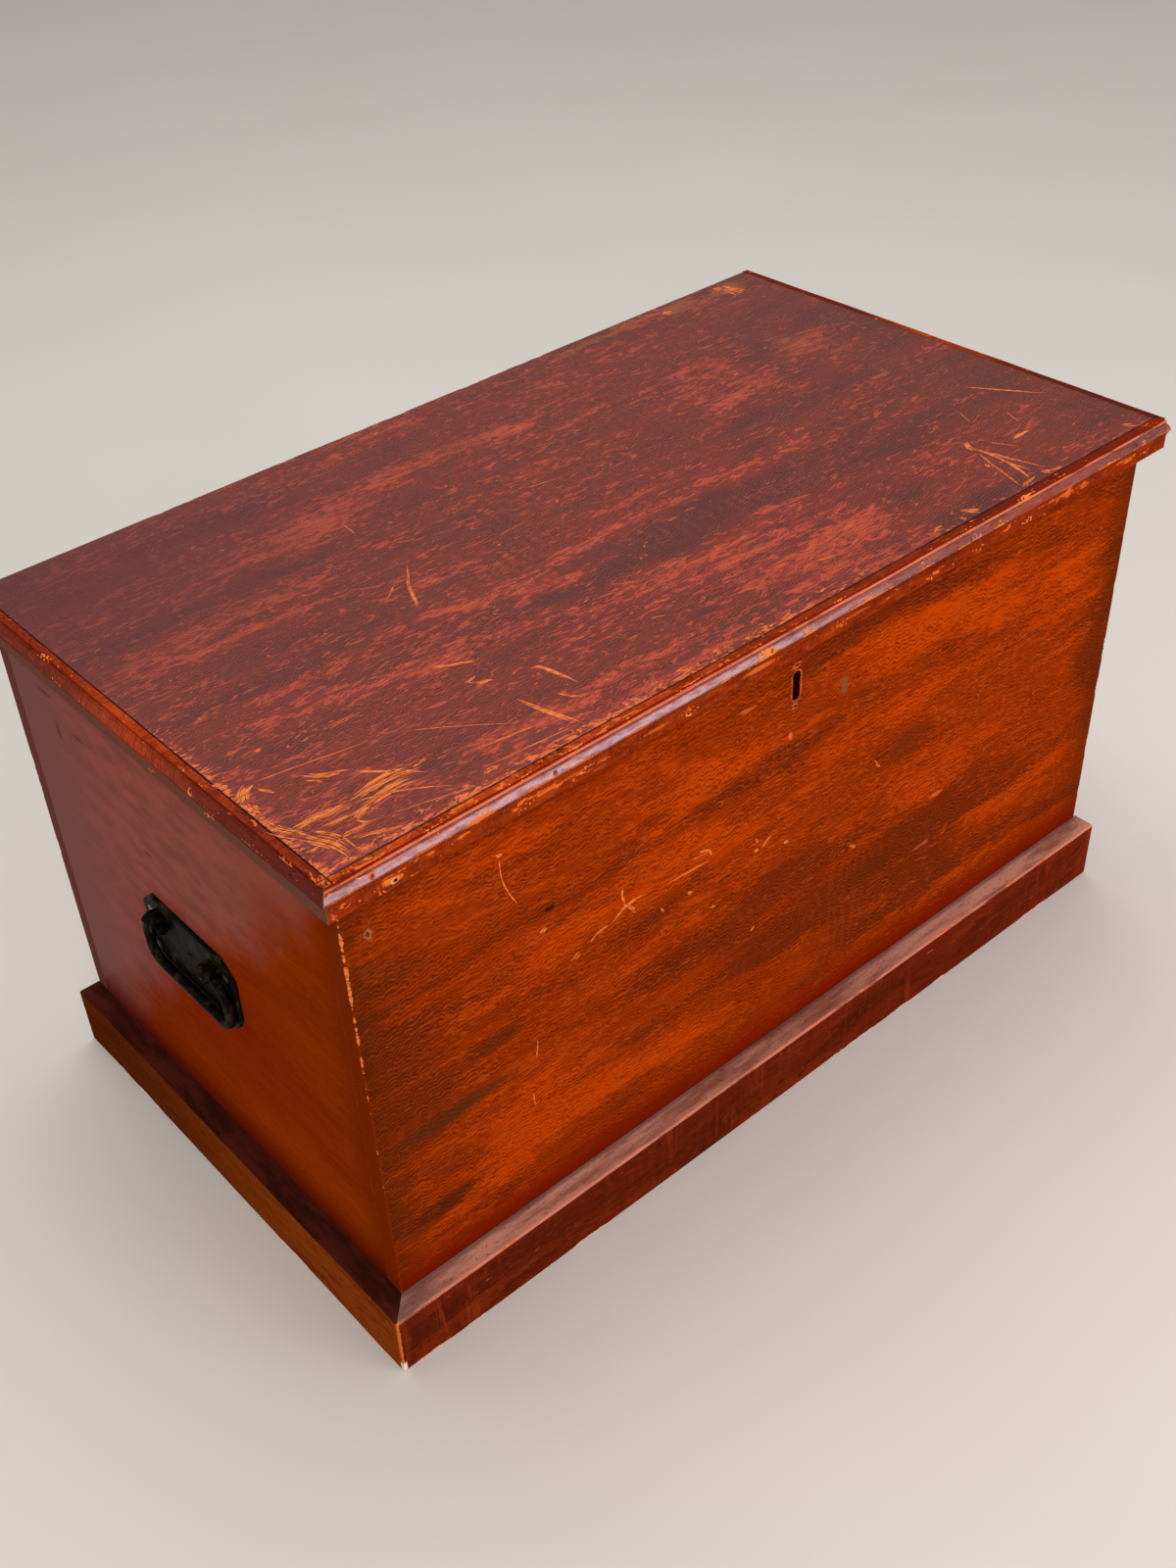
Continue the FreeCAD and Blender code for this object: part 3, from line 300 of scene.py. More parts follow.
def make_drifts():
    """
    Clouds in the paint, all from noise stretched along the board: broad dark drifts, a glow where the
    ground shines through, narrow streaks, a crumpled mottle of dabs, and fine specks.
    """
    tree, given, put = node_group(
        "paint_drifts", [("Board", "Vector", None), ("Slant", "Float", 0.0)],
        [("Broad", "Float"), ("Glow", "Float"), ("Narrow", "Float"), ("Mottle", "Float"), ("Speck", "Float")])
    parts = split(tree, given.outputs["Board"])
    leaning = times_plus(tree, parts[0], given.outputs["Slant"], parts[1])
    board = join(tree, parts[0], leaning, parts[2])
    for label, stretch, detail, rough, warp in (
            ("Broad", (2.6, 15, 15), 6, 0.66, 0.4), ("Glow", (4.5, 20, 20), 6, 0.68, 0.5),
            ("Narrow", (11, 72, 72), 5, 0.68, 0.6), ("Mottle", (55, 170, 170), 4, 0.62, 1.2),
            ("Speck", (260, 260, 260), 3, 0.7, 0.0)):
        noise = cloud(tree, scaled(tree, board, stretch), detail=detail, rough=rough, warp=warp)
        feed(tree, put, {label: noise})
    return tree


drifts = make_drifts()
print("drifts:", len(drifts.nodes), "nodes")

# %% Bare old pine
RING_TURN = 900  # radians of the rings' sine in a metre across the board, so a ring every 7 mm


def make_bare_pine():
    """The colours of bare pine: thin growth rings, as a sine of a bent distance across the board."""
    tree, given, put = node_group(
        "bare_pine", [("Board", "Vector", None), ("Pale", "Color", shade(214, 160, 96)),
                      ("Deep", "Color", shade(160, 98, 48))],
        [("Color", "Color"), ("Height", "Float")])
    board = given.outputs["Board"]
    bend = cloud(tree, scaled(tree, board, (1.6, 9, 9)), detail=2)
    place = times_plus(tree, bend, 0.05, split(tree, board)[1])
    ring = times_plus(tree, maths(tree, "SINE", times(tree, place, RING_TURN)), 0.5, 0.5)
    fibre = cloud(tree, scaled(tree, board, (30, 700, 700)), detail=3)
    share = times_plus(tree, ramp(tree, ring, 0.35, 1.0), 0.6, times(tree, fibre, 0.5))
    feed(tree, put, {"Color": blend(tree, share, given.outputs["Pale"], given.outputs["Deep"]),
                     "Height": times_plus(tree, ring, 0.4, fibre)})
    return tree


bare_pine = make_bare_pine()
print("bare pine:", len(bare_pine.nodes), "nodes")

# %% [markdown]
# ## Finishes
# Paint: a dark red-brown scumble over an orange ground, streaked along each board, under a satin varnish.
# Where a piece carries the attribute "bare", the paint is chipped off and the orange ground and the pine
# show through. Iron and steel are darker and plainer, with rust in patches. Some marks of the paint belong
# to one place, such as the keyhole's worn rim, so the sizes of the chest come first.

# %% Sizes of the chest
X_LOW, X_HIGH = -0.4475, 0.4525
Y_LOW, Y_HIGH = -0.2475, 0.2625
RIM, TOP = 0.506, 0.526
LID_X = (-0.4525, 0.4575)
LID_Y = (-0.2525, 0.2625)
MIDDLE_X = 0.0025
KEYHOLE_LOW, KEYHOLE_TOP = 0.441, 0.467
KEYHOLE_MIDDLE = (KEYHOLE_LOW + KEYHOLE_TOP) / 2
PIN_HEIGHTS = (KEYHOLE_TOP + 0.007, KEYHOLE_LOW - 0.007)
print("carcass", round(X_HIGH - X_LOW, 3), "by", round(Y_HIGH - Y_LOW, 3), "by", RIM, "m")

# %% Board coordinates
BOARD_ORDER = {"lid": (0, 1, 2), "front": (0, 2, 1), "side": (1, 2, 0), "return": (1, 0, 2)}


def board_vector(tree, way):
    """Object coordinates in another order: the first runs along the board, the second across it."""
    parts = object_parts(tree)
    return join(tree, *(parts[index] for index in BOARD_ORDER[way]))


def new_material(name):
    """A material that holds only its shader and its output."""
    material = bpy.data.materials.new(name)
    material.use_nodes = True
    tree = material.node_tree
    tree.nodes.clear()
    shader = add(tree, "ShaderNodeBsdfPrincipled")
    add(tree, "ShaderNodeOutputMaterial", {0: shader.outputs[0]})
    return material, tree, shader


print("four ways a board can lie:", *BOARD_ORDER)

# %% Combed paint
FLECK = (0.62, 0.16, 0.035, 1)
VARNISH_ROUGH = 0.32
GROUND = {"Pale": shade(243, 138, 66), "Deep": shade(214, 92, 32)}


def painted(name, way, colours, *, over, flakes=0.3, crumbs=0.0, cover=0.1, relief=0.1, slant=0.0, sheen=0.0,
            ridges=230.0, wander=0.005, arch=0.0022, streaks=1.0, loose=0.6, ticks=0.65, coat=0.0,
            coat_ior=1.5, coat_rough=0.22, bloom=None):
    """
    Combed and varnished paint of a middle, a dark, a light and a glowing colour, each laid by a smooth step
    of a drift's noise, and chipped where the attribute "bare" says so. The attribute "tone" moves the whole
    balance to the glowing ground above 0 and to the dark glaze below 0. "over" adds the marks of one place.
    """
    middle, dark, light, glow = (shade(*colour) for colour in colours)
    material, tree, shader = new_material(name)
    board = board_vector(tree, way)
    comb = use(tree, comb_marks, {"Board": board, "Ridges per metre": ridges, "Wander": wander, "Arch": arch,
                                  "Cover": cover})
    drift = use(tree, drifts, {"Board": board, "Slant": slant})
    tone = attribute(tree, "tone")

    def layer(under, colour, given, low, high, most):
        """A colour laid by a smooth step of a noise."""
        return blend(tree, times(tree, ramp(tree, given, low, high), most), under, colour)

    def leaned(given, lean):
        """A noise with its swing about a half made looser or tighter, moved by the tone."""
        return times_plus(tree, tone, lean, times_plus(tree, minus(tree, given, 0.5), loose, 0.5))

    glowing = leaned(drift["Glow"], 0.13)
    zone = times_plus(tree, minus(tree, glowing, 0.5), 0.7, drift["Mottle"])
    speck = minus(tree, drift["Speck"], 0.5)
    paint = layer(middle, dark, leaned(drift["Broad"], -0.1), 0.48, 0.6, 0.85 * streaks)
    paint = layer(paint, glow, glowing, 0.51, 0.66, 0.85 * streaks)
    paint = layer(paint, dark, drift["Narrow"], 0.46, 0.34, 0.55 * streaks)
    paint = layer(paint, light, zone, 0.52, 0.64, flakes)
    paint = layer(paint, dark, drift["Mottle"], 0.46, 0.34, ticks * streaks)
    deep = (*(0.6 * value for value in dark[:3]), 1.0)
    # Grooves darker and crests lighter: partly the comb's own pattern, partly painted shade in the grooves
    # and painted highlight on the crests.
    for label, share, colour in (("Groove", 0.72, deep), ("Crest", 0.35, light), ("Ladder", 0.09, light)):
        paint = blend(tree, times(tree, comb[label], share * streaks), paint, colour)
    if crumbs:
        paint = layer(paint, FLECK, times_plus(tree, speck, 0.25, zone), 0.7, 0.76, crumbs)
    paint = over(tree, board, paint)
    torn = ramp(tree, times_plus(tree, speck, 0.9, attribute(tree, "bare")), 0.44, 0.56)
    pine = use(tree, bare_pine, {"Board": board, **GROUND})["Color"]
    satin = times_plus(tree, drift["Narrow"], 0.16, VARNISH_ROUGH)
    height = times_plus(tree, drift["Mottle"], 1.8, comb["Height"])
    feed(tree, shader, {
        "Base Color": blend(tree, torn, paint, pine), "Roughness": times_plus(tree, torn, 0.35, satin),
        "Specular IOR Level": sheen, "Normal": bump(tree, height, relief / 1000)})
    if bloom:
        weight = times(tree, times(tree, minus(tree, 1.0, torn), coat), bloom(tree))
        feed(tree, shader, {"Coat Weight": weight, "Coat IOR": coat_ior, "Coat Roughness": coat_rough})
    return material


def spot(tree, first, second, centre, reach, edge=0.35):
    """A soft oval mark: 1 inside, 0 beyond its reach, by the length of the place scaled to the oval."""
    u = times(tree, minus(tree, first, centre[0]), 1 / reach[0])
    v = times(tree, minus(tree, second, centre[1]), 1 / reach[1])
    return ramp(tree, diagonal(tree, u, v), 1 + edge, 1 - edge)


def torn_dabs(tree, board, nearness):
    """Small torn chips where fine noise, helped by nearness to an edge, passes a limit."""
    dabs = cloud(tree, scaled(tree, board, (85, 210, 210)), detail=5, rough=0.66, warp=0.8)
    return ramp(tree, times_plus(tree, nearness, 0.17, dabs), 0.655, 0.69)


print("the ground under the paint:", np.round(GROUND["Pale"], 3))

# %% Glossy places
NOSE_BAND = (0.5125, 0.515), (0.5232, 0.5222)


def upper_gloss_and_reflection(tree):
    """The upper rear part of the ends, where the varnish is glossy and a reflection is painted into the
    colour: a smooth step of height plus depth.
    """
    parts = object_parts(tree)
    wander = cloud(tree, object_place(tree), scale=9, detail=5, rough=0.6)
    return ramp(tree, plus(tree, parts[1], times_plus(tree, wander, 0.16, parts[2])), 0.30, 0.40)


def nose_bloom(tree):
    """Varnish is thick on the moulding's nose: a band of heights, thinned in patches."""
    patch = cloud(tree, scaled(tree, object_place(tree), (70, 300, 300)), detail=4)
    band = between(tree, object_parts(tree)[2], *NOSE_BAND)
    return times(tree, band, ramp(tree, patch, 0.36, 0.56, 0.5, 1.0))


print("the nose shines between z", NOSE_BAND[0][1], "and", NOSE_BAND[1][1])

# %% Paint of the front and the back
# Each spot: its middle and its reach as x and z, its colour and its share.
FRONT_SPOTS = [
    ((0.062, 0.426), (0.0042, 0.0085), (128, 78, 48), 0.85),
    ((0.147, 0.317), (0.012, 0.013), (104, 46, 16), 0.5),
    ((0.152, 0.318), (0.022, 0.018), (116, 42, 10), 0.4),
    ((-0.372, 0.233), (0.060, 0.008), (74, 42, 18), 0.6),
    ((-0.395, 0.135), (0.030, 0.008), (70, 32, 8), 0.6),
    ((-0.325, 0.277), (0.020, 0.008), (88, 38, 10), 0.5),
    ((-0.265, 0.379), (0.005, 0.002), (40, 14, 8), 0.8),
    ((0.118, 0.196), (0.034, 0.012), (88, 40, 12), 0.45),
    ((-0.3965, 0.4865), (0.0044, 0.0034), (226, 160, 120), 0.85),
    ((-0.3965, 0.4865), (0.0022, 0.0018), (30, 12, 8), 1.0),
    ((-0.4245, 0.4545), (0.0030, 0.0040), (214, 140, 100), 0.6),
    ((-0.4245, 0.4545), (0.0016, 0.0024), (90, 34, 14), 0.9),
    ((-0.053, 0.458), (0.009, 0.0018), (206, 96, 50), 0.7),
    ((0.205, 0.232), (0.008, 0.003), (206, 100, 50), 0.7),
    ((-0.002, 0.4055), (0.0022, 0.0040), (222, 120, 76), 0.6),
    ((0.188, 0.178), (0.011, 0.002), (196, 90, 52), 0.6)]


def comb_strokes(tree, board):
    """Short strokes along the board: noise stretched nine times as long as it is wide."""
    return cloud(tree, scaled(tree, board, (36, 330, 330)), detail=2.5)


def painted_brow_shade(tree, stroke, height, paint):
    """Painted shade under the moulding's overhang: a dark band, a smooth step of height, made ragged by the
    strokes.
    """
    ragged_height = times_plus(tree, stroke, 0.03, height)
    return lay(tree, paint, (98, 32, 8), ramp(tree, ragged_height, 0.488, 0.503, 0.0, 0.7))


def keyhole_rim(tree, parts, loose, first, second, paint):
    """
    Paint worn pale round the keyhole and its pins, and painted shade inside it: smooth steps of the distance
    from a short upright line.
    """
    up = larger(tree, minus(tree, away(tree, parts[2], KEYHOLE_MIDDLE), 0.010), 0.0)
    far = diagonal(tree, minus(tree, parts[0], MIDDLE_X), up)
    rim = ramp(tree, times_plus(tree, loose, 0.008, far), 0.0105, 0.0088)
    for pin in PIN_HEIGHTS:
        rim = larger(tree, rim, spot(tree, first, second, (0.0022, pin), (0.0042, 0.0026)))
    paint = lay(tree, paint, (206, 96, 50), rim, 0.85)
    # Painted shade inside the keyhole.
    return lay(tree, paint, (70, 26, 14), ramp(tree, far, 0.0048, 0.0040))


def front_details(tree, board, paint):
    """
    What only the front has: grey and dark spots, an olive left edge with short strokes that run in from it,
    a redder foot where it meets the plinth, painted shade under the moulding, a worn rim round the keyhole
    with painted shade inside it, and end faces that match the ends.
    """
    parts = object_parts(tree)
    loose = cloud(tree, scaled(tree, board, (120, 200, 200)), detail=5, rough=0.7)
    other = cloud(tree, scaled(tree, board, (60, 130, 130)), detail=5, rough=0.7)
    first = times_plus(tree, loose, 0.010, minus(tree, parts[0], 0.005))
    second = times_plus(tree, other, 0.010, minus(tree, parts[2], 0.005))
    for centre, reach, colour, share in FRONT_SPOTS:
        paint = lay(tree, paint, colour, spot(tree, first, second, centre, reach), share)
    stroke = comb_strokes(tree, board)
    near = ramp(tree, times_plus(tree, stroke, 0.06, parts[0]), -0.375, -0.420)
    paint = lay(tree, paint, (74, 32, 8), times(tree, near, ramp(tree, stroke, 0.46, 0.58, 0.35, 0.9)))
    right = ramp(tree, times_plus(tree, loose, 0.03, parts[0]), 0.425, 0.468, 0.0, 0.6)
    paint = lay(tree, paint, (92, 36, 8), right)
    paint = painted_brow_shade(tree, stroke, parts[2], paint)
    foot = ramp(tree, times_plus(tree, stroke, 0.02, parts[2]), 0.118, 0.078, 0.0, 0.9)
    paint = lay(tree, paint, (118, 24, 3), foot)
    paint = keyhole_rim(tree, parts, loose, first, second, paint)
    edge = ramp(tree, away(tree, parts[0], MIDDLE_X), 0.4484, 0.4496, 0.0, 0.9)
    height = ramp(tree, times_plus(tree, other, 0.2, parts[2]), 0.36, 0.56)
    return blend(tree, edge, paint, blend(tree, height, shade(126, 40, 2), shade(122, 42, 10)))


def back_details(tree, board, paint):
    """The back: painted shade under the moulding above, darker below, and where its edges show at the ends it
    matches them, painted reflection and all.
    """
    parts = object_parts(tree)
    stroke = comb_strokes(tree, board)
    foot = ramp(tree, times_plus(tree, stroke, 0.05, parts[2]), 0.13, 0.04, 0.0, 0.6)
    paint = lay(tree, paint, (92, 30, 8), foot)
    paint = painted_brow_shade(tree, stroke, parts[2], paint)
    # Where the back's edges show at the ends they take the ends' colours, with the same purple-grey painted
    # reflection above.
    edge = ramp(tree, away(tree, parts[0], MIDDLE_X), 0.4480, 0.4494)
    return blend(tree, edge, paint, blend(tree, upper_gloss_and_reflection(tree), shade(106, 36, 4), shade(112, 62, 56)))


front_paint = painted(
    "combed_front_paint", "front", ((146, 46, 4), (102, 35, 10), (196, 74, 12), (184, 58, 2)), flakes=0.45,
    slant=0.05, relief=0.2, cover=0.62, loose=0.8, ticks=0.4, over=front_details)
back_paint = painted(
    "combed_back_paint", "front", ((138, 45, 6), (94, 32, 8), (184, 72, 14), (172, 58, 4)), flakes=0.45,
    slant=-0.04, relief=0.2, cover=0.62, loose=0.7, ticks=0.5, over=back_details)
print("front paint:", len(front_paint.node_tree.nodes), "nodes")

# %% Paint of the ends


def end_details(tree, board, paint):
    """A purple-grey painted reflection on the glossy varnish above, small dark squiggles, a deep red painted
    reflection along the foot and a dark front edge.
    """
    parts = object_parts(tree)
    mottle = cloud(tree, scaled(tree, board, (22, 60, 60)), detail=5, rough=0.62)
    # Painted reflection: purple-grey colours, greyer towards the rear and warmer at the front, laid over the
    # upper part of the end.
    painted_reflection = blend(tree, ramp(tree, mottle, 0.36, 0.64), shade(128, 66, 58), shade(156, 76, 64))
    painted_reflection = lay(tree, painted_reflection, (126, 74, 70), ramp(tree, parts[1], 0.05, 0.25))
    fore = times(tree, ramp(tree, parts[1], -0.02, -0.16), ramp(tree, parts[2], 0.30, 0.42))
    painted_reflection = lay(tree, painted_reflection, (146, 68, 50), fore, 0.6)
    paint = blend(tree, times(tree, upper_gloss_and_reflection(tree), 0.92), paint, painted_reflection)
    glow = spot(tree, parts[1], parts[2], (-0.02, 0.235), (0.11, 0.07), 0.7)
    paint = lay(tree, paint, (132, 26, 4), glow, 0.5)
    # Painted reflection of the red plinth: a deep red band along the foot.
    paint = lay(tree, paint, (96, 14, 2), ramp(tree, parts[2], 0.12, 0.066, 0.0, 0.75))
    paint = lay(tree, paint, (106, 32, 3), ramp(tree, parts[1], -0.195, -0.2475, 0.0, 0.75))
    for centre, reach in (((0.185, 0.457), (0.012, 0.003)), ((0.175, 0.422), (0.004, 0.009)),
                          ((0.136, 0.433), (0.009, 0.0025)), ((0.05, 0.36), (0.006, 0.002))):
        paint = lay(tree, paint, (58, 26, 24), spot(tree, parts[1], parts[2], centre, reach), 0.5)
    return paint


end_paint = painted(
    "brushed_end_paint", "side", ((144, 50, 2), (118, 36, 4), (164, 62, 6), (164, 58, 2)), flakes=0.25,
    cover=0.15, relief=0.06, streaks=0.6, coat=0.12, bloom=upper_gloss_and_reflection, over=end_details)
print("end paint:", len(end_paint.node_tree.nodes), "nodes")

# %% Paint of the lid
LID_STAINS = [((0.412, 0.240), (0.022, 0.014), 0.6), ((0.345, 0.246), (0.026, 0.007), 0.5),
              ((0.240, 0.248), (0.060, 0.005), 0.35), ((0.36, 0.10), (0.02, 0.02), 0.2)]


def corner_nearness(tree, parts):
    """1 at the lid's front left corner, 0 from four centimetres on."""
    far = diagonal(tree, plus(tree, parts[0], 0.4565), plus(tree, parts[1], 0.2565))
    return ramp(tree, far, 0.04, 0.002)


def joint_line(tree, parts):
    """
    The black line between the lid and its moulding: thin steps on both sides of the joint, front and left,
    thinned in places by noise.
    """
    half = times_plus(tree, cloud(tree, object_place(tree), scale=60, detail=3), 0.0012, 0.0001)
    lines = [ramp(tree, minus(tree, away(tree, value, place), half), 0.0002, 0.0)
             for value, place in ((parts[1], LID_Y[0]), (parts[0], LID_X[0]))]
    return times(tree, larger(tree, *lines), ramp(tree, parts[2], TOP - 0.0014, TOP - 0.0008, 0.0, 0.9))


def lid_details(tree, board, paint):
    """Torn chips near the lid's front and left edges, and an ochre stain at the back right corner."""
    parts = object_parts(tree)
    warm = ramp(tree, parts[0], 0.22, -0.15, 0.25, 1.0)
    front_edge = times(tree, ramp(tree, parts[1], -0.232, -0.2515), warm)
    left_edge = times(tree, ramp(tree, parts[0], -0.438, -0.452), ramp(tree, parts[1], 0.02, -0.1, 0.2, 1.0))
    near = larger(tree, larger(tree, front_edge, left_edge), corner_nearness(tree, parts))
    paint = lay(tree, paint, (160, 44, 20), near, 0.12)
    paint = lay(tree, paint, (230, 110, 48), torn_dabs(tree, board, near), 0.9)
    loose = cloud(tree, scaled(tree, board, (60, 60, 60)), detail=4)
    first = times_plus(tree, loose, 0.05, minus(tree, parts[0], 0.025))
    second = times_plus(tree, loose, 0.03, minus(tree, parts[1], 0.015))
    for centre, reach, share in LID_STAINS:
        paint = lay(tree, paint, (176, 96, 40), spot(tree, first, second, centre, reach), share)
    paint = lay(tree, paint, (34, 14, 10), joint_line(tree, parts))
    paint = lay(tree, paint, (98, 44, 24), ramp(tree, parts[0], 0.20, 0.45, 0.0, 0.2))
    rear = times(tree, ramp(tree, parts[1], -0.12, 0.2), ramp(tree, parts[0], -0.05, -0.4, 0.2, 0.7))
    return lay(tree, paint, (90, 32, 30), rear)


lid_paint = painted(
    "combed_lid_paint", "lid", ((122, 39, 22), (84, 34, 28), (192, 73, 40), (162, 51, 28)), flakes=0.85,
    crumbs=0.3, cover=0.55, relief=0.35, sheen=0.2, ridges=300, wander=0.0045, arch=0.0018, loose=0.5,
    over=lid_details)
print("lid paint:", len(lid_paint.node_tree.nodes), "nodes")

# %% Paint of the mouldings
# Each band of heights: where it rises and where it falls.
HOLLOW_BAND = (0.5015, 0.504), (0.5100, 0.5075)
LIP_BAND = (0.5216, 0.5221), (0.5234, 0.5230)
STEP_BAND = (0.5230, 0.5234), (0.5257, 0.5252)
# Each spot on the front moulding: its middle and its reach as x and z, its colour, its share, and how far
# fine noise pulls its outline about.
MOULDING_SPOTS = [
    ((-0.3935, 0.5030), (0.0090, 0.0026), (236, 118, 46), 0.9, 0.03),
    ((-0.4025, 0.5050), (0.0050, 0.0016), (236, 124, 52), 0.8, 0.02),
    ((-0.4060, 0.5020), (0.0030, 0.0024), (226, 160, 120), 0.9, 0.002),
    ((-0.4060, 0.5020), (0.0018, 0.0015), (26, 12, 8), 1.0, 0.0),
    ((-0.2600, 0.5060), (0.0100, 0.0016), (214, 96, 34), 0.8, 0.03),
    ((-0.2310, 0.5050), (0.0160, 0.0012), (206, 88, 30), 0.7, 0.03),
    ((-0.1500, 0.5040), (0.0120, 0.0014), (214, 96, 34), 0.8, 0.03),
    ((-0.0420, 0.5060), (0.0160, 0.0024), (226, 104, 38), 0.8, 0.03),
    ((0.0700, 0.5060), (0.0140, 0.0014), (196, 84, 30), 0.7, 0.03),
    ((0.3300, 0.5080), (0.0040, 0.0060), (222, 104, 60), 0.8, 0.01)]
FRONT_NAILS = X_LOW + (X_HIGH - X_LOW) * np.array((0.037, 0.211, 0.449, 0.71, 0.963))
MOULDING_SPOTS += [((round(nail, 4), 0.517), (0.0013, 0.0013), (24, 10, 8), 0.9, 0.0) for nail in FRONT_NAILS]


def moulding_lip(tree, board, parts, broad, stroke, paint):
    """A pale lip, partly painted highlight and partly wear, the spots, and torn chips under the hollow."""
    # Painted highlight, partly wear: pale pink along the lip, in patches.
    lip = between(tree, parts[2], *LIP_BAND)
    paint = lay(tree, paint, (232, 124, 94), times(tree, lip, ramp(tree, broad, 0.38, 0.58, 0.2, 0.85)))
    for centre, reach, colour, share, pull in MOULDING_SPOTS:
        mark = spot(tree, times_plus(tree, stroke, pull, parts[0]), parts[2], centre, reach)
        paint = lay(tree, paint, colour, mark, share)
    band = times(tree, between(tree, parts[2], *HOLLOW_BAND), ramp(tree, broad, 0.44, 0.6, 0.0, 0.9))
    return lay(tree, paint, (222, 104, 36), torn_dabs(tree, board, band))


def moulding_foot(tree, parts, broad, stroke, foot, paint):
    """The foot of a side moulding in a grey-brown painted reflection, and a glow along the middle of its
    nose.
    """
    # Painted reflection: the grey-brown sheen of the side moulding's lower edge.
    low = times_plus(tree, broad, 0.004, parts[2])
    paint = lay(tree, paint, foot, ramp(tree, low, 0.5115, 0.508, 0.0, 0.9))
    loose_y = times_plus(tree, broad, 0.1, parts[1])
    glow = spot(tree, loose_y, parts[2], (0.05, 0.5185), (0.075, 0.010), 0.7)
    return lay(tree, paint, (196, 72, 22), times(tree, glow, ramp(tree, stroke, 0.35, 0.6, 0.2, 0.8)))


def moulding_details(tree, board, paint, step=(118, 24, 8), foot=None):
    """
    Fine strokes of a comb drawn across the top of the moulding, torn chips, painted shade in dark red on the
    step under them, a pale lip that is partly painted highlight and partly wear, and olive filler in the
    front left mitre: noise and smooth steps of height and place. Only the side mouldings are given a
    painted reflection on the foot. They are duller, darker in front and have no lip.
    """
    parts = object_parts(tree)
    stroke = cloud(tree, scaled(tree, board, (760, 90, 90)), detail=4, rough=0.65)
    broad = cloud(tree, scaled(tree, board, (30, 60, 60)), detail=4)
    top = ramp(tree, parts[2], TOP - 0.0006, TOP - 0.0002)
    warm = ramp(tree, parts[0], 0.2, -0.35, 0.15, 1.0)
    given = times_plus(tree, minus(tree, broad, 0.5), 1.1, stroke)
    light = times(tree, times(tree, ramp(tree, given, 0.44, 0.66), top), warm)
    if foot:
        light = times(tree, light, ramp(tree, parts[1], 0.10, 0.02, 0.2, 1.0))
        dark_front = ramp(tree, times_plus(tree, broad, 0.1, parts[1]), 0.0, -0.09, 0.0, 0.6)
        paint = lay(tree, paint, (96, 32, 20), dark_front)
    paint = lay(tree, paint, (204, 76, 34), light, 0.3 if foot else 0.65)
    cold = times(tree, top, ramp(tree, parts[0], -0.2, 0.25, 0.0, 0.7))
    paint = lay(tree, paint, (94, 32, 24), cold)
    paint = lay(tree, paint, (92, 26, 12), ramp(tree, given, 0.46, 0.34), 0.45)
    if foot:
        paint = moulding_foot(tree, parts, broad, stroke, foot, paint)
    # Painted shade: dark red on the small step below the strip, which faces away from the light.
    paint = lay(tree, paint, step, between(tree, parts[2], *STEP_BAND), 0.2 if foot else 0.85)
    if not foot:
        paint = moulding_lip(tree, board, parts, broad, stroke, paint)
    corner = corner_nearness(tree, parts)
    close = times(tree, corner, ramp(tree, parts[2], 0.524, 0.5255, 0.3, 0.85))
    near = larger(tree, times(tree, times(tree, top, warm), 0.2 if foot else 0.75), close)
    paint = lay(tree, paint, (230, 110, 46), torn_dabs(tree, board, near), 0.9)
    paint = lay(tree, paint, (34, 14, 10), joint_line(tree, parts))
    off = away(tree, plus(tree, parts[0], -LID_X[0]), plus(tree, parts[1], -LID_Y[0]))
    filler = times(tree, ramp(tree, off, 0.0009, 0.0005), ramp(tree, corner, 0.3, 0.6))
    return lay(tree, paint, (118, 88, 46), filler)


def return_details(tree, board, paint):
    """The side mouldings: fainter painted shade on the step, no pale lip, a glow along the nose and a
    grey-brown painted reflection on the foot.
    """
    return moulding_details(tree, board, paint, step=(106, 30, 14), foot=(116, 74, 62))


moulding_paint = painted(
    "moulding_paint", "lid", ((142, 47, 12), (98, 30, 12), (186, 76, 26), (166, 58, 18)), flakes=0.4,
    crumbs=0.4, relief=0.08, coat=1.0, coat_ior=1.9, coat_rough=0.2, bloom=nose_bloom, over=moulding_details)
return_paint = painted(
    "moulding_return_paint", "return", ((124, 42, 24), (92, 28, 16), (170, 60, 30), (146, 46, 22)),
    flakes=0.5, crumbs=0.8, cover=0.2, coat=0.25, bloom=nose_bloom, over=return_details)
print(len(MOULDING_SPOTS), "spots on the front moulding")

# %% Paint of the plinth
PLINTH_TALL, PLINTH_DEEP = 0.066, 0.0225
PLINTH_ARRIS = PLINTH_TALL + PLINTH_DEEP - Y_LOW  # height less y, which is greatest on the front's top arris


def corner_chips(tree, parts, paint):
    """The plinth's front left corner: a torn orange line down it and a white chip at its foot."""
    fine = cloud(tree, object_place(tree), scale=260, detail=4)
    out = plus(tree, plus(tree, parts[0], PLINTH_DEEP - X_LOW), plus(tree, parts[1], PLINTH_DEEP - Y_LOW))
    line = ramp(tree, times_plus(tree, fine, 0.005, out), 0.0050, 0.0042)
    paint = lay(tree, paint, (222, 108, 48), line, 0.9)
    white = times(tree, ramp(tree, out, 0.0045, 0.0035), ramp(tree, parts[2], 0.013, 0.010))
    return lay(tree, paint, (236, 224, 200), white)


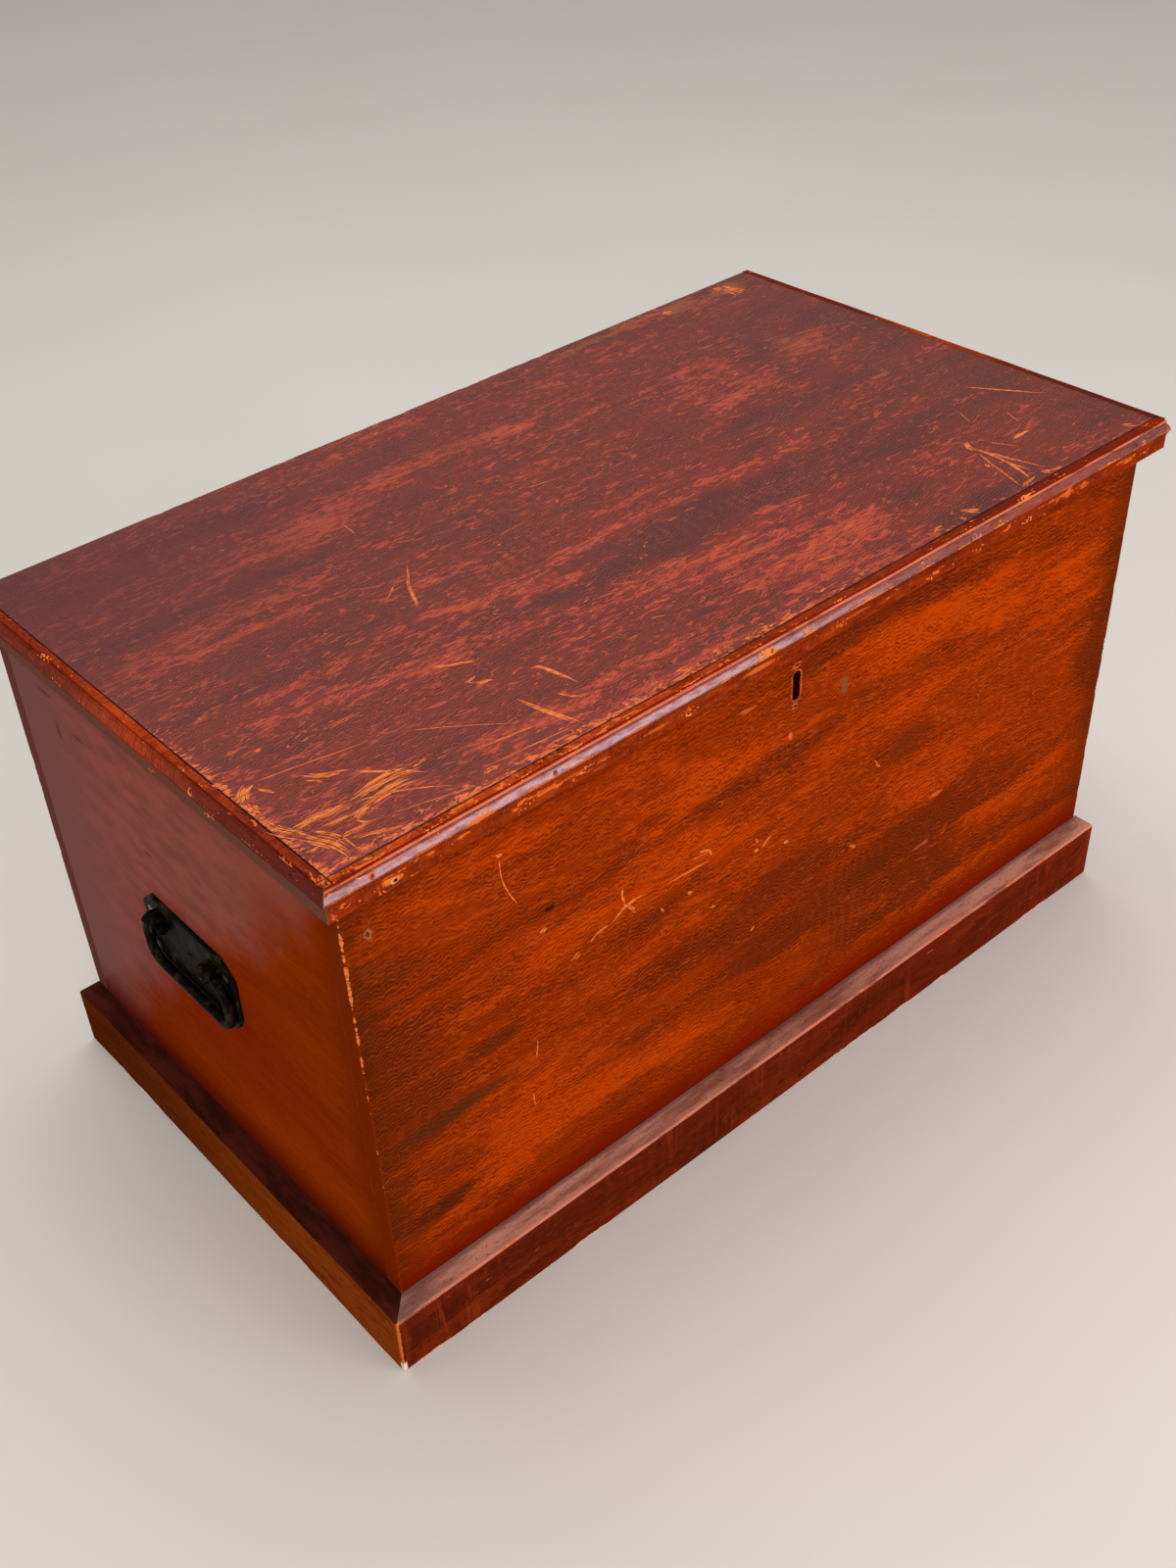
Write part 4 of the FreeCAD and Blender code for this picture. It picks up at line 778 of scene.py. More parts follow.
def plinth_details(tree, board, paint):
    """A dull pink, speckled top with grey edges, a thin pale arris that is partly wear and partly painted
    highlight, and soft strokes drawn down the face.
    """
    parts = object_parts(tree)
    stroke = cloud(tree, scaled(tree, board, (150, 14, 14)), detail=4, rough=0.6, warp=0.6)
    combed = ramp(tree, cloud(tree, scaled(tree, board, (9, 9, 9)), detail=3), 0.46, 0.58, 0.15, 1.0)
    paint = lay(tree, paint, (158, 60, 22), times(tree, ramp(tree, stroke, 0.52, 0.66), combed), 0.4)
    paint = lay(tree, paint, (70, 20, 8), times(tree, ramp(tree, stroke, 0.46, 0.34), combed), 0.4)
    flecks = cloud(tree, scaled(tree, board, (60, 300, 300)), detail=3)
    paint = lay(tree, paint, (206, 96, 44), ramp(tree, flecks, 0.70, 0.73, 0.0, 0.8))
    dust = cloud(tree, scaled(tree, board, (12, 70, 70)), detail=6, rough=0.7)
    dots = cloud(tree, scaled(tree, board, (420, 420, 420)), detail=2)
    top = ramp(tree, parts[2], PLINTH_TALL - 0.0008, PLINTH_TALL - 0.0003)
    grey = larger(tree, ramp(tree, parts[1], -0.2535, -0.2495), ramp(tree, parts[0], -0.40, -0.455, 0.0, 0.7))
    dull = blend(tree, ramp(tree, dust, 0.36, 0.6), shade(158, 96, 78), shade(214, 150, 124))
    dull = lay(tree, dull, (104, 84, 80), grey, 0.7)
    dull = lay(tree, dull, (70, 44, 38), ramp(tree, dots, 0.62, 0.70, 0.0, 0.6))
    ends = ramp(tree, maths(tree, "ABSOLUTE", parts[0]), 0.02, 0.25, 0.7, 0.95)
    paint = blend(tree, times(tree, top, ends), paint, dull)
    # A thin pale line on the top outer arris: partly wear, partly painted highlight.
    arris = ramp(tree, minus(tree, parts[2], parts[1]), PLINTH_ARRIS - 0.0025, PLINTH_ARRIS - 0.0018)
    paint = lay(tree, paint, (226, 136, 108), times(tree, arris, ramp(tree, dust, 0.38, 0.52, 0.15, 0.8)))
    return corner_chips(tree, parts, paint)


def plinth_return_details(tree, board, paint):
    """The left plinth: a dark maroon top over a golden brown face."""
    parts = object_parts(tree)
    dust = cloud(tree, scaled(tree, board, (14, 60, 60)), detail=5, rough=0.65)
    maroon = blend(tree, ramp(tree, dust, 0.4, 0.6), shade(58, 22, 14), shade(84, 32, 24))
    paint = lay(tree, paint, (70, 28, 10), ramp(tree, parts[1], -0.16, 0.14, 0.0, 0.65))
    paint = blend(tree, ramp(tree, parts[2], PLINTH_TALL - 0.0012, PLINTH_TALL - 0.0004), paint, maroon)
    return corner_chips(tree, parts, paint)


plinth_paint = painted(
    "plinth_paint", "front", ((104, 33, 12), (74, 23, 10), (140, 52, 18), (124, 42, 12)), relief=0.12,
    over=plinth_details)
plinth_return_paint = painted(
    "plinth_return_paint", "side", ((140, 62, 16), (100, 38, 8), (166, 78, 24), (154, 70, 18)),
    over=plinth_return_details)
print("plinth paint:", len(plinth_paint.node_tree.nodes), "nodes")

# %% Bare pine and iron
FIBRE_DEEP = GRIT_DEEP = 0.0002


def plain_pine(name, way):
    """Unpainted pine: the shared colours, rough, with its rings and fibres standing up a little."""
    material, tree, shader = new_material(name)
    pine = use(tree, bare_pine, {"Board": board_vector(tree, way)})
    feed(tree, shader, {"Base Color": pine["Color"], "Roughness": 0.75,
                        "Normal": bump(tree, pine["Height"], FIBRE_DEEP)})
    return material


def iron(name, tone, worn, rust, metal=0.6, rough=0.5, shine=0.3):
    """Old metal: a tone mixed to rust by broad noise and to worn metal by fine grit."""
    material, tree, shader = new_material(name)
    place = object_place(tree)
    patch = cloud(tree, place, scale=90, detail=5, rough=0.65)
    grit = cloud(tree, place, scale=900, detail=3)
    colour = blend(tree, ramp(tree, patch, 0.5, 0.66), shade(*tone), shade(*rust))
    colour = lay(tree, colour, worn, ramp(tree, grit, 0.5, 0.75), 0.5)
    feed(tree, shader, {
        "Base Color": colour, "Roughness": times_plus(tree, grit, 0.3, rough - 0.15), "Metallic": metal,
        "Specular IOR Level": shine, "Normal": bump(tree, grit, GRIT_DEEP)})
    return material


plank_pine = plain_pine("plank_pine", "return")
cleat_pine = plain_pine("cleat_pine", "lid")
inner_pine = plain_pine("inner_pine", "lid")
handle_iron = iron("japanned_iron", (8, 6, 4), (25, 19, 12), (50, 36, 22), metal=0.0, shine=0.035)
hinge_iron = iron("hinge_iron", (84, 74, 66), (130, 118, 104), (110, 70, 44), metal=0.8)
lock_iron = iron("lock_iron", (96, 84, 66), (150, 134, 104), (110, 78, 46), metal=0.8, rough=0.42)
screw_steel = iron("screw_steel", (112, 104, 94), (160, 150, 136), (110, 72, 46), metal=0.9, rough=0.4)
nail_iron = iron("nail_iron", (60, 48, 40), (96, 80, 66), (96, 56, 34))
print(len(bpy.data.materials), "materials so far")

# %% Finish of each CAD piece
# The first word that a piece's name holds gives its finish.
FINISHES = {
    "plank": plank_pine, "cleat": cleat_pine, "screws": screw_steel, "nails": nail_iron, "hinge": hinge_iron,
    "handle": handle_iron, "bail": handle_iron, "lock": lock_iron, "link": lock_iron,
    "moulding_front": moulding_paint, "moulding": return_paint, "plinth_front": plinth_paint,
    "plinth": plinth_return_paint, "lid_board": lid_paint, "_end": end_paint, "board": front_paint}
for name, piece in nodes.items():
    piece.data.materials.clear()
    piece.data.materials.append(next(finish for word, finish in FINISHES.items() if word in name))
print("every CAD piece has a finish")

# %% [markdown]
# ## Boards with worn edges
# A real board is never sharp: its arrises are rounded by hands and knocked in places, and its faces are a
# little wavy. A board could be a cube with a bevel, but then every edge would be the same. Here it is an
# outline carried along the board, worked out as one grid of points, so each arris can be cut back by its
# own uneven depth. The attribute "bare" is 1 where paint was lost, and the paint's material reads it.

# %% Uneven numbers
FADE = 0.55
WAVES = 9
GROWTH = 1.6
FINE = 0.0004


def ragged(places, pitch, seed, octaves=4):
    """
    Uneven numbers from 0 to 1 along a line: random heights at knots, joined up, then again at half the pitch
    and about half the height, and so on.
    """
    rng = np.random.default_rng(seed)
    total, most = np.zeros(len(places)), 0.0
    low, high = places.min(), places.max()
    for octave in range(octaves):
        count = max(2, int((high - low) / pitch * 2 ** octave) + 2)
        share = FADE ** octave
        total += np.interp(places, np.linspace(low, high, count), rng.random(count)) * share
        most += share
    return total / most


def ripple(points, length, seed):
    """Soft waves in space, about -1 to 1: a sum of sines of the dot product with random directions."""
    rng = np.random.default_rng(seed)
    ways = rng.normal(size=(WAVES, 3))
    ways /= np.linalg.norm(ways, axis=1)[:, None]
    ways *= math.tau / length * rng.uniform(0.6, 1.5, WAVES)[:, None]
    return np.sin(points @ ways.T + rng.uniform(0, math.tau, WAVES)).sum(-1) / math.sqrt(WAVES)


def graded(length, coarse):
    """
    Places along a length: steps that grow by a fixed share from fine to coarse at both ends, and even steps
    between them.
    """
    steps = FINE * GROWTH ** np.arange(40)
    edge = np.cumsum(steps[steps < coarse])
    edge = edge[edge < length * 0.4]
    first = edge[-1] if len(edge) else 0.0
    count = max(2, int(math.ceil((length - 2 * first) / coarse)) + 1)
    places = np.linspace(first, length - first, count)
    if len(edge):
        places = np.concatenate([[0.0], edge[:-1], places, length - edge[:-1][::-1], [length]])
    return places


print("graded:", np.round(graded(0.1, 0.02), 4))

# %% Outlines
ARC_STEPS = 4


def box_outline(low, high, radii, coarse):
    """
    A rectangle with round corners, run anticlockwise. Each side's points are graded; each corner is a
    quarter circle about a centre one radius in. Gives points, outward directions, and the side that each
    point begins: 0 right, 1 top, 2 left, 3 bottom.
    """
    (p0, q0), (p1, q1) = low, high
    corners = np.array([(p1, q0), (p1, q1), (p0, q1), (p0, q0)])
    inward = np.array([(-1, 1), (-1, -1), (1, -1), (1, 1)])
    centres = corners + inward * np.array(radii)[:, None]
    faces = np.array([(1, 0), (0, 1), (-1, 0), (0, -1)])
    points, ways, sides = [], [], []
    for side in range(4):
        after = (side + 1) % 4
        start = centres[side] + faces[side] * radii[side]
        end = centres[after] + faces[side] * radii[after]
        length = np.linalg.norm(end - start)
        places = graded(length, coarse[side])[:, None] / length
        run = start + (end - start) * places
        angles = (side + np.arange(1, ARC_STEPS) / ARC_STEPS) * math.pi / 2
        arc = np.stack([np.cos(angles), np.sin(angles)], axis=1)
        points += [run, centres[after] + arc * radii[after]]
        ways += [np.repeat(faces[side][None], len(run), 0), arc]
        sides += [side] * (len(run) + len(arc))
    return np.concatenate(points), np.concatenate(ways).astype(float), np.array(sides)


outline, ways, sides = box_outline((0, 0), (0.018, 0.9), (0.001,) * 4, (0.006, 0.02, 0.006, 0.02))
print("a board's outline has", len(outline), "points")

# %% Meshes
SHARP_DEGREES = 34


def put_mesh(name, points, faces, materials, slots=None, bare=None, tone=None):
    """Points and faces as an object at the origin, smooth but for edges sharper than an angle."""
    mesh = bpy.data.meshes.new(name)
    mesh.from_pydata(points, [], faces)
    for material in materials:
        mesh.materials.append(material)
    if slots is not None:
        mesh.polygons.foreach_set("material_index", np.array(slots, np.int32))
    for label, values in (("bare", bare), ("tone", tone)):
        if values is not None:
            carried = mesh.attributes.new(label, "FLOAT", "POINT")
            carried.data.foreach_set("value", values.astype(np.float32).ravel())
    mesh.polygons.foreach_set("use_smooth", np.ones(len(mesh.polygons), bool))
    mesh.set_sharp_from_angle(angle=math.radians(SHARP_DEGREES))
    made = bpy.data.objects.new(name, mesh)
    bpy.context.scene.collection.objects.link(made)
    return made


def grid_faces(rows, columns):
    """Quads between each row of a grid and the next, and round each row to its own start."""
    start = np.arange(rows - 1)[:, None] * columns
    here = np.arange(columns)[None]
    after = (here + 1) % columns
    corners = (start + here, start + after, start + columns + after, start + columns + here)
    return np.stack(corners, -1).reshape(-1, 4)


def prism_faces(count):
    """The sides and the two ends of a prism. Its points are two rings of this many, one after the other."""
    around = [(i, (i + 1) % count, count + (i + 1) % count, count + i) for i in range(count)]
    return around + [list(range(count))[::-1], list(range(count, 2 * count))]


def volume(points, faces):
    """The volume inside closed quads: a sum of the signed volumes of thin pyramids to the origin."""
    a, b, c, d = (points[faces[:, i]] for i in range(4))
    return float((a * (np.cross(b, c) + np.cross(c, d))).sum() / 6)


print("a four-sided prism has", len(prism_faces(4)), "faces")

# %% Sweep


def sweep(name, outline, ways, sides, span, pitch, place, materials, shape, ends=(0.0005, 0.0005),
          slant=(0.0, 0.0), extra=(), inner=(), cap_slots=(0, 0), tone=None):
    """
    An outline carried along a line. The surface's point (s, u) is outline point u moved in by an inset that
    grows over the last half millimetre in a quarter circle, at station s; a slant shears the ends for a
    mitre. "shape" then wears the surface, and "place" turns (s, p, q) into x, y and z.
    """
    lean = np.linspace(0, math.pi / 2, 4)
    near = span[0] + ends[0] * (1 - np.cos(lean))
    far = span[1] - ends[1] * (1 - np.cos(lean[::-1]))
    count = int(math.ceil((far[0] - near[-1]) / pitch)) + 1
    middle = np.linspace(near[-1], far[0], count)
    extra = np.array(extra, float)
    extra = extra[(extra > middle[0]) & (extra < middle[-1])]
    middle = np.unique(np.round(np.concatenate([middle, extra]), 6))[1:-1]
    stations = np.concatenate([near, middle, far])
    inset = np.concatenate([ends[0] * (1 - np.sin(lean)), np.zeros(len(middle)),
                            ends[1] * (1 - np.sin(lean[::-1]))])
    p = outline[None, :, 0] - inset[:, None] * ways[None, :, 0]
    q = outline[None, :, 1] - inset[:, None] * ways[None, :, 1]
    calm = np.where(inset > 0, 0.0, 1.0)[:, None]
    p, q, bare = shape(stations, p, q, calm)
    share = ((stations - span[0]) / (span[1] - span[0]))[:, None]
    s = stations[:, None] + p * (slant[0] * (1 - share) + slant[1] * share)
    points = place(s, p, q).reshape(-1, 3)
    rows, columns = p.shape
    faces = grid_faces(rows, columns)
    flip = volume(points, faces) < 0
    first, last = list(range(columns))[::-1], list(range((rows - 1) * columns, rows * columns))
    quads = (faces[:, ::-1] if flip else faces).tolist()
    caps = [first[::-1], last[::-1]] if flip else [first, last]
    slots = np.tile(np.isin(sides, inner).astype(int), rows - 1)
    made = put_mesh(name, points.tolist(), quads + caps, materials, np.concatenate([slots, cap_slots]), bare,
                    tone=tone(points) if tone else None)
    print(name, rows, "x", columns, "points,", round(abs(volume(points, faces)) * 1e6), "cubic centimetres")
    return made


print("sweep: an outline and a line give a board")

# %% Wear
KNOCK_REACH = 0.012
KNOCK_ROUGH, KNOCK_GRAIN = 0.0002, 0.0022
ROUGH_FROM, BARE_FROM = 0.0006, 0.0005
PAINT_DEEP = 0.00035


def knock(corner, way, depth, stations, p, q, bare, calm, seed):
    """
    Cut an arris back. Measured along the slanting line into the arris, every point nearer than the depth
    moves in to it, so the arris becomes an uneven flat; the flat is roughened and counts as bare.
    """
    into = (corner[0] - p) * way[0] + (corner[1] - q) * way[1]
    close = (np.hypot(corner[0] - p, corner[1] - q) < KNOCK_REACH) * calm
    points = np.stack(np.broadcast_arrays(stations[:, None], p, q), -1)
    uneven = ripple(points, KNOCK_GRAIN, seed) * KNOCK_ROUGH * (depth[:, None] > ROUGH_FROM)
    push = np.clip(depth[:, None] + uneven - into, 0, None) * close
    p, q = p - push * way[0], q - push * way[1]
    lost = np.clip(push / PAINT_DEEP, 0, 1) * (depth[:, None] > BARE_FROM)
    return p, q, np.maximum(bare, lost)


def chips(stations, base, most, cover, pitch, seed, weight=None):
    """Depth of wear along an arris: a little everywhere, and more where ragged numbers pass a limit."""
    rough = ragged(stations, pitch, seed, 5)
    fine = ragged(stations, pitch / 5, seed + 1, 3)
    rank = np.argsort(np.argsort(rough)) / len(rough)
    deep = np.clip((rank - (1 - cover)) / cover, 0, 1) ** 0.6 * (0.4 + 0.6 * fine)
    if weight is not None:
        deep = deep * np.interp(stations, *weight)
    return base * (0.5 + fine) + most * deep


print("a worn arris, in mm:", np.round(chips(np.linspace(0, 0.1, 6), 0.0003, 0.0015, 0.5, 0.02, 1) * 1000, 2))

# %% Cuts


def cut_with(piece, corners, faces):
    """Cut a closed shape out of a piece with an exact boolean, and drop the cutter."""
    cutter = put_mesh("cutter", corners, faces, list(piece.data.materials), [1] * len(faces))
    tool = piece.modifiers.new("cut", "BOOLEAN")
    tool.object, tool.operation, tool.solver = cutter, "DIFFERENCE", "EXACT"
    view = bpy.context.evaluated_depsgraph_get()
    mesh = bpy.data.meshes.new_from_object(piece.evaluated_get(view))
    piece.modifiers.clear()
    old = piece.data
    piece.data = mesh
    bpy.data.meshes.remove(old)
    mesh.name = piece.name
    bpy.data.objects.remove(cutter)


def carve(piece, low, high):
    """Cut a box out of a piece, between its lowest and its highest corner."""
    (x0, y0, z0), (x1, y1, z1) = low, high
    corners = [(x, y, z) for z in (z0, z1) for y in (y0, y1) for x in (x0, x1)]
    quads = [(0, 2, 3, 1), (4, 5, 7, 6), (0, 1, 5, 4), (2, 6, 7, 3), (0, 4, 6, 2), (1, 3, 7, 5)]
    cut_with(piece, corners, quads)


# %% Tones
# Soft areas where the paint glows or darkens: place, reach and strength, in millimetres.
FRONT_TONES = np.array([
    (-300, 450, 120, 24, 0.7), (-110, 414, 55, 16, 1.3), (165, 436, 85, 24, 1.1), (290, 430, 140, 28, 0.5),
    (60, 352, 260, 30, 0.5), (-110, 336, 60, 26, 0.8), (310, 285, 130, 20, 0.6), (60, 290, 170, 26, 0.5),
    (-265, 200, 75, 34, 1.5), (-290, 140, 110, 34, 1.2), (-130, 140, 70, 26, 0.7), (335, 165, 110, 28, 0.6),
    (-250, 330, 70, 30, 0.4), (200, 235, 120, 16, 0.3), (390, 400, 60, 30, 0.4), (-180, 270, 90, 22, 0.4),
    (-425, 300, 40, 110, -1.0), (-385, 340, 50, 18, -0.6), (-378, 232, 60, 10, -1.4),
    (-392, 134, 46, 11, -1.2), (-350, 106, 55, 7, -1.0), (90, 466, 240, 9, -0.9), (-160, 308, 55, 9, -0.9),
    (-328, 276, 30, 9, -0.6),
    (150, 320, 45, 18, -0.7), (-30, 250, 170, 12, -0.6), (20, 212, 190, 30, -0.8), (140, 200, 70, 24, -0.8),
    (436, 300, 26, 150, -1.1), (405, 112, 50, 9, -1.2), (230, 150, 160, 16, -0.5), (120, 115, 260, 14, -0.6),
    (330, 190, 120, 12, -0.5), (-60, 175, 120, 14, -0.7), (0, 497, 470, 10, -0.8), (-250, 378, 140, 8, -0.7),
    (-380, 400, 60, 9, -0.5), (250, 285, 110, 6, -0.6), (-120, 100, 200, 10, -0.4)])
LID_TONES = np.array([
    (-206, 153, 38, 13, 1.5), (-230, 130, 34, 7, 0.9), (-390, 62, 46, 14, 0.8), (-330, 38, 90, 5, 1.4),
    (-260, 66, 56, 12, 0.5), (-80, 174, 36, 9, 0.8), (35, 158, 20, 9, 1.3), (-30, 164, 60, 7, 0.6),
    (150, 129, 105, 4, 1.1), (250, 104, 56, 26, 0.7), (238, 54, 38, 12, 1.2), (90, 72, 110, 12, 0.4),
    (-5, 79, 12, 4, 1.4), (372, 92, 34, 18, 0.8), (-330, -48, 110, 8, 0.9), (-178, -50, 28, 5, 1.4),
    (-30, -50, 60, 4, 1.3), (66, -56, 60, 5, 1.1), (120, -44, 40, 14, 0.7), (200, -48, 20, 12, 1.0),
    (20, -159, 110, 5, 1.4), (-20, -132, 100, 12, 0.5), (-104, -76, 26, 8, 0.8), (100, -196, 50, 17, 1.5),
    (92, -120, 18, 5, 1.2), (-195, -216, 105, 9, 1.5), (-370, -222, 90, 30, 0.1), (-238, -112, 30, 9, 0.9),
    (355, -187, 30, 5, 1.2), (395, -187, 18, 5, 0.9), (-130, 240, 90, 10, 0.4), (-380, 150, 50, 30, 0.3),
    (316, 186, 7, 5, 1.2), (-120, 6, 40, 14, 0.4), (40, -20, 70, 10, 0.5), (-400, -245, 60, 10, 0.3),
    (-150, -246, 140, 6, 1.1), (60, -228, 90, 8, 0.5), (-250, -165, 40, 20, 0.4),
    (-290, 216, 100, 22, -0.6), (-100, 120, 60, 18, -0.9), (-60, 214, 40, 24, -0.7), (240, 236, 48, 8, -1.1),
    (222, 10, 56, 12, -1.1), (160, -24, 28, 8, -1.0), (70, -86, 86, 22, -1.3), (-10, -110, 90, 11, -0.8),
    (-90, -96, 56, 11, -0.8), (210, -190, 38, 22, -0.7), (440, 100, 40, 110, -0.8), (425, -130, 45, 80, -0.9),
    (230, -236, 56, 11, -0.9), (330, 30, 46, 100, -0.5), (-400, 100, 46, 18, -0.8), (-310, 10, 110, 14, -0.6),
    (-330, 196, 120, 10, -0.5), (-180, -130, 60, 14, -0.5), (110, 8, 60, 8, -0.6), (-60, -60, 40, 10, -0.5),
    (-432, 215, 30, 50, -0.7), (340, 150, 60, 30, -0.4), (-250, 100, 80, 10, -0.6),
    (300, -110, 70, 20, -0.3)])


def toned(patches, first, second):
    """
    The tone at every point: each patch adds its strength times a bell curve of the distance scaled to its
    reach. The places are bent first by soft waves, so that no patch is a clean oval.
    """

    def tone(points):
        """The tones of these points, in the piece's own units of metres."""
        u, v = points[:, first] * 1000, points[:, second] * 1000
        v = v + 5 * ripple(points, 0.09, 31)
        u = u + 14 * ripple(points, 0.12, 32)
        total = np.zeros(len(points))
        for x, y, wide, tall, strength in patches:
            total += strength * np.exp(-((u - x) / wide) ** 2 - ((v - y) / tall) ** 2)
        return np.clip(total, -1.6, 1.8)

    return tone


print(len(FRONT_TONES), "tones on the front,", len(LID_TONES), "on the lid")

# %% [markdown]
# ## The carcass
# There are four boards. The front and the back run past the ends and are nailed into them. The outer faces
# are painted and the insides are bare pine. The front's left arris has lost most of its paint near the top.
# The lock and the hinges sit in shallow recesses, which are cut by booleans.

# %% Carcass boards
BOARD = 0.018
GAP = 0.00002
SWELL, SWELL_LENGTH = 0.00012, 0.11
FRONT_SEED = 1
DIAGONAL = math.sqrt(0.5)


def upright(s, p, q):
    """An outline in x and y, carried up."""
    return np.stack([p, q, s], -1)


def carcass_board(name, low, high, radii, coarse, inner, paint, arrises, seed, tone=None, inside=inner_pine):
    """A rectangle seen from above, carried up to the rim, swollen by soft waves, its arrises knocked."""
    outline, ways, sides = box_outline(low, high, radii, coarse)

    def shape(stations, p, q, calm):
        """Each point moves out by a soft wave, and then each arris is knocked."""
        points = np.stack(np.broadcast_arrays(p, q, stations[:, None]), -1)
        out = ripple(points, SWELL_LENGTH, seed) * SWELL * calm
        p, q = p + out * ways[None, :, 0], q + out * ways[None, :, 1]
        bare = np.zeros_like(p)
        for corner, way, depth in arrises:
            p, q, bare = knock(corner, way, depth(stations), stations, p, q, bare, calm, seed)
        return p, q, bare

    made = sweep(name, outline, ways, sides, (0.0, RIM), 0.0013, upright, [paint, inside], shape,
                 inner=inner, cap_slots=(1, 1), tone=tone)
    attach(made, "carcass")
    return made


front = carcass_board(
    "front_panel", (X_LOW, Y_LOW), (X_HIGH, Y_LOW + BOARD), (0.0009, 0.0002, 0.0002, 0.0009),
    (0.004, 0.011, 0.004, 0.011), (1,), front_paint,
    [((X_LOW, Y_LOW), (-DIAGONAL, -DIAGONAL),
      lambda s: chips(s, 0.0003, 0.0019, 0.78, 0.0045, 11,
                      ([0.0, 0.1, 0.3, 0.36, 0.42, 0.5], [0.12, 0.12, 0.2, 0.7, 1.1, 1.2]))),
     ((X_HIGH, Y_LOW), (DIAGONAL, -DIAGONAL), lambda s: chips(s, 0.0004, 0.0012, 0.25, 0.02, 21))],
    FRONT_SEED, tone=toned(FRONT_TONES, 0, 2))
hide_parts("front_board", "front_nails")
back = carcass_board(
    "back_panel", (X_LOW, Y_HIGH - BOARD), (X_HIGH, Y_HIGH), (0.0002, 0.0009, 0.0009, 0.0002),
    (0.004, 0.02, 0.004, 0.02), (3,), back_paint,
    [((X_LOW, Y_HIGH), (-DIAGONAL, DIAGONAL), lambda s: chips(s, 0.0003, 0.0012, 0.2, 0.03, 31)),
     ((X_HIGH, Y_HIGH), (DIAGONAL, DIAGONAL), lambda s: chips(s, 0.0003, 0.0012, 0.2, 0.03, 41))], 2)
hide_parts("back_board", "back_nails")
left = carcass_board(
    "left_panel", (X_LOW, Y_LOW + BOARD + GAP), (X_LOW + BOARD, Y_HIGH - BOARD - GAP), (0.0002,) * 4,
    (0.012, 0.004, 0.012, 0.004), (0,), end_paint, [], 3, inside=plank_pine)
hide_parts("left_end")
right = carcass_board(
    "right_panel", (X_HIGH - BOARD, Y_LOW + BOARD + GAP), (X_HIGH, Y_HIGH - BOARD - GAP), (0.0002,) * 4,
    (0.012, 0.004, 0.012, 0.004), (2,), end_paint, [], 4, inside=plank_pine)
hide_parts("right_end")

# %% Recesses in the carcass
LEAF, LEAF_DEEP = 0.002, 0.017
OVER = 0.003
EASE = 0.0005
lock_low, lock_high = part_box("lock_plate")
carve(front, (lock_low.x, lock_high.y - LEAF, lock_low.z), (lock_high.x, lock_high.y + OVER, RIM + OVER))
carve(front, (lock_low.x, lock_low.y, RIM - LEAF), (lock_high.x, lock_high.y + OVER / 2, RIM + OVER / 2))
case_low, case_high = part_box("lock_case")
carve(front, (case_low.x - EASE, case_low.y - EASE, case_low.z - EASE),
      (case_high.x + EASE, lock_high.y + OVER / 3, RIM + OVER / 3))
for side in ("left", "right"):
    leaf_low, leaf_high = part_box(side + "_hinge_body_leaf")
    carve(back, (leaf_low.x, Y_HIGH - LEAF_DEEP, RIM - LEAF), (leaf_high.x, Y_HIGH + OVER, RIM + OVER))
print("front panel now has", len(front.data.polygons), "faces")

# %% Keyhole
HEAD, SLOT, SLOT_FOOT = 0.0044, 0.0031, 0.0012
PIN = 0.0011
OUTSIDE = Y_LOW - 0.002


def keyhole_outline():
    """
    A round head over a straight slot with a soft foot, as x and z: an arc that stops where the slot's sides
    meet the circle, and a half ellipse for the foot. A slow sine round its middle makes it a little uneven.
    """
    centre = KEYHOLE_TOP - HEAD
    half = math.asin(SLOT / HEAD)
    angles = np.linspace(-math.pi / 2 + half, 1.5 * math.pi - half, 26)
    head = np.stack([MIDDLE_X + HEAD * np.cos(angles), centre + HEAD * np.sin(angles)], 1)
    turn = np.linspace(math.pi, math.tau, 12)
    foot = np.stack([MIDDLE_X + SLOT * np.cos(turn), KEYHOLE_LOW + SLOT_FOOT * (1 + np.sin(turn))], 1)
    line = np.concatenate([head, foot])
    wobble = 1 + 0.02 * np.sin(5 * np.arctan2(line[:, 1] - KEYHOLE_MIDDLE, line[:, 0] - MIDDLE_X) + 1)
    return np.stack([MIDDLE_X + (line[:, 0] - MIDDLE_X) * wobble, line[:, 1]], 1)


def drill(piece, line, start, end):
    """Cut a prism with this outline, in x and z, out of a piece between two depths in y."""
    corners = [(x, y, z) for y in (start, end) for x, z in line.tolist()]
    cut_with(piece, corners, prism_faces(len(line)))


drill(front, keyhole_outline(), OUTSIDE, Y_LOW + 0.0075)
circle = np.linspace(0, math.tau, 16, endpoint=False)
for pin_z in PIN_HEIGHTS:
    drill(front, np.stack([MIDDLE_X + PIN * np.cos(circle), pin_z + PIN * np.sin(circle)], 1), OUTSIDE,
          Y_LOW + 0.005)
print("keyhole", len(keyhole_outline()), "points round")

# %% [markdown]
# ## The lid
# One wide board with a moulding nailed round three of its edges. A thin dark line shows where they meet.
# The moulding has a square foot, a hollow, a flat nose that is rounded above, and a small step up to the
# lid's top. It is a profile carried round, mitred at the two front corners by shearing its ends.

# %% Lid board


def lengthways(s, p, q):
    """An outline in y and z, carried along x."""
    return np.stack([s, p, q], -1)


outline, ways, sides = box_outline((LID_Y[0] + GAP, RIM), (LID_Y[1], TOP), (0.0004, 0.0012, 0.0007, 0.0003),
                                   (0.004, 0.004, 0.004, 0.02))


def lid_dip(points):
    """How far the lid's top lies under its flat height: soft waves that leave room for the scratches."""
    return (np.clip(ripple(points, 0.13, 5), -1.7, 1.7) - 2.1) * 0.00015


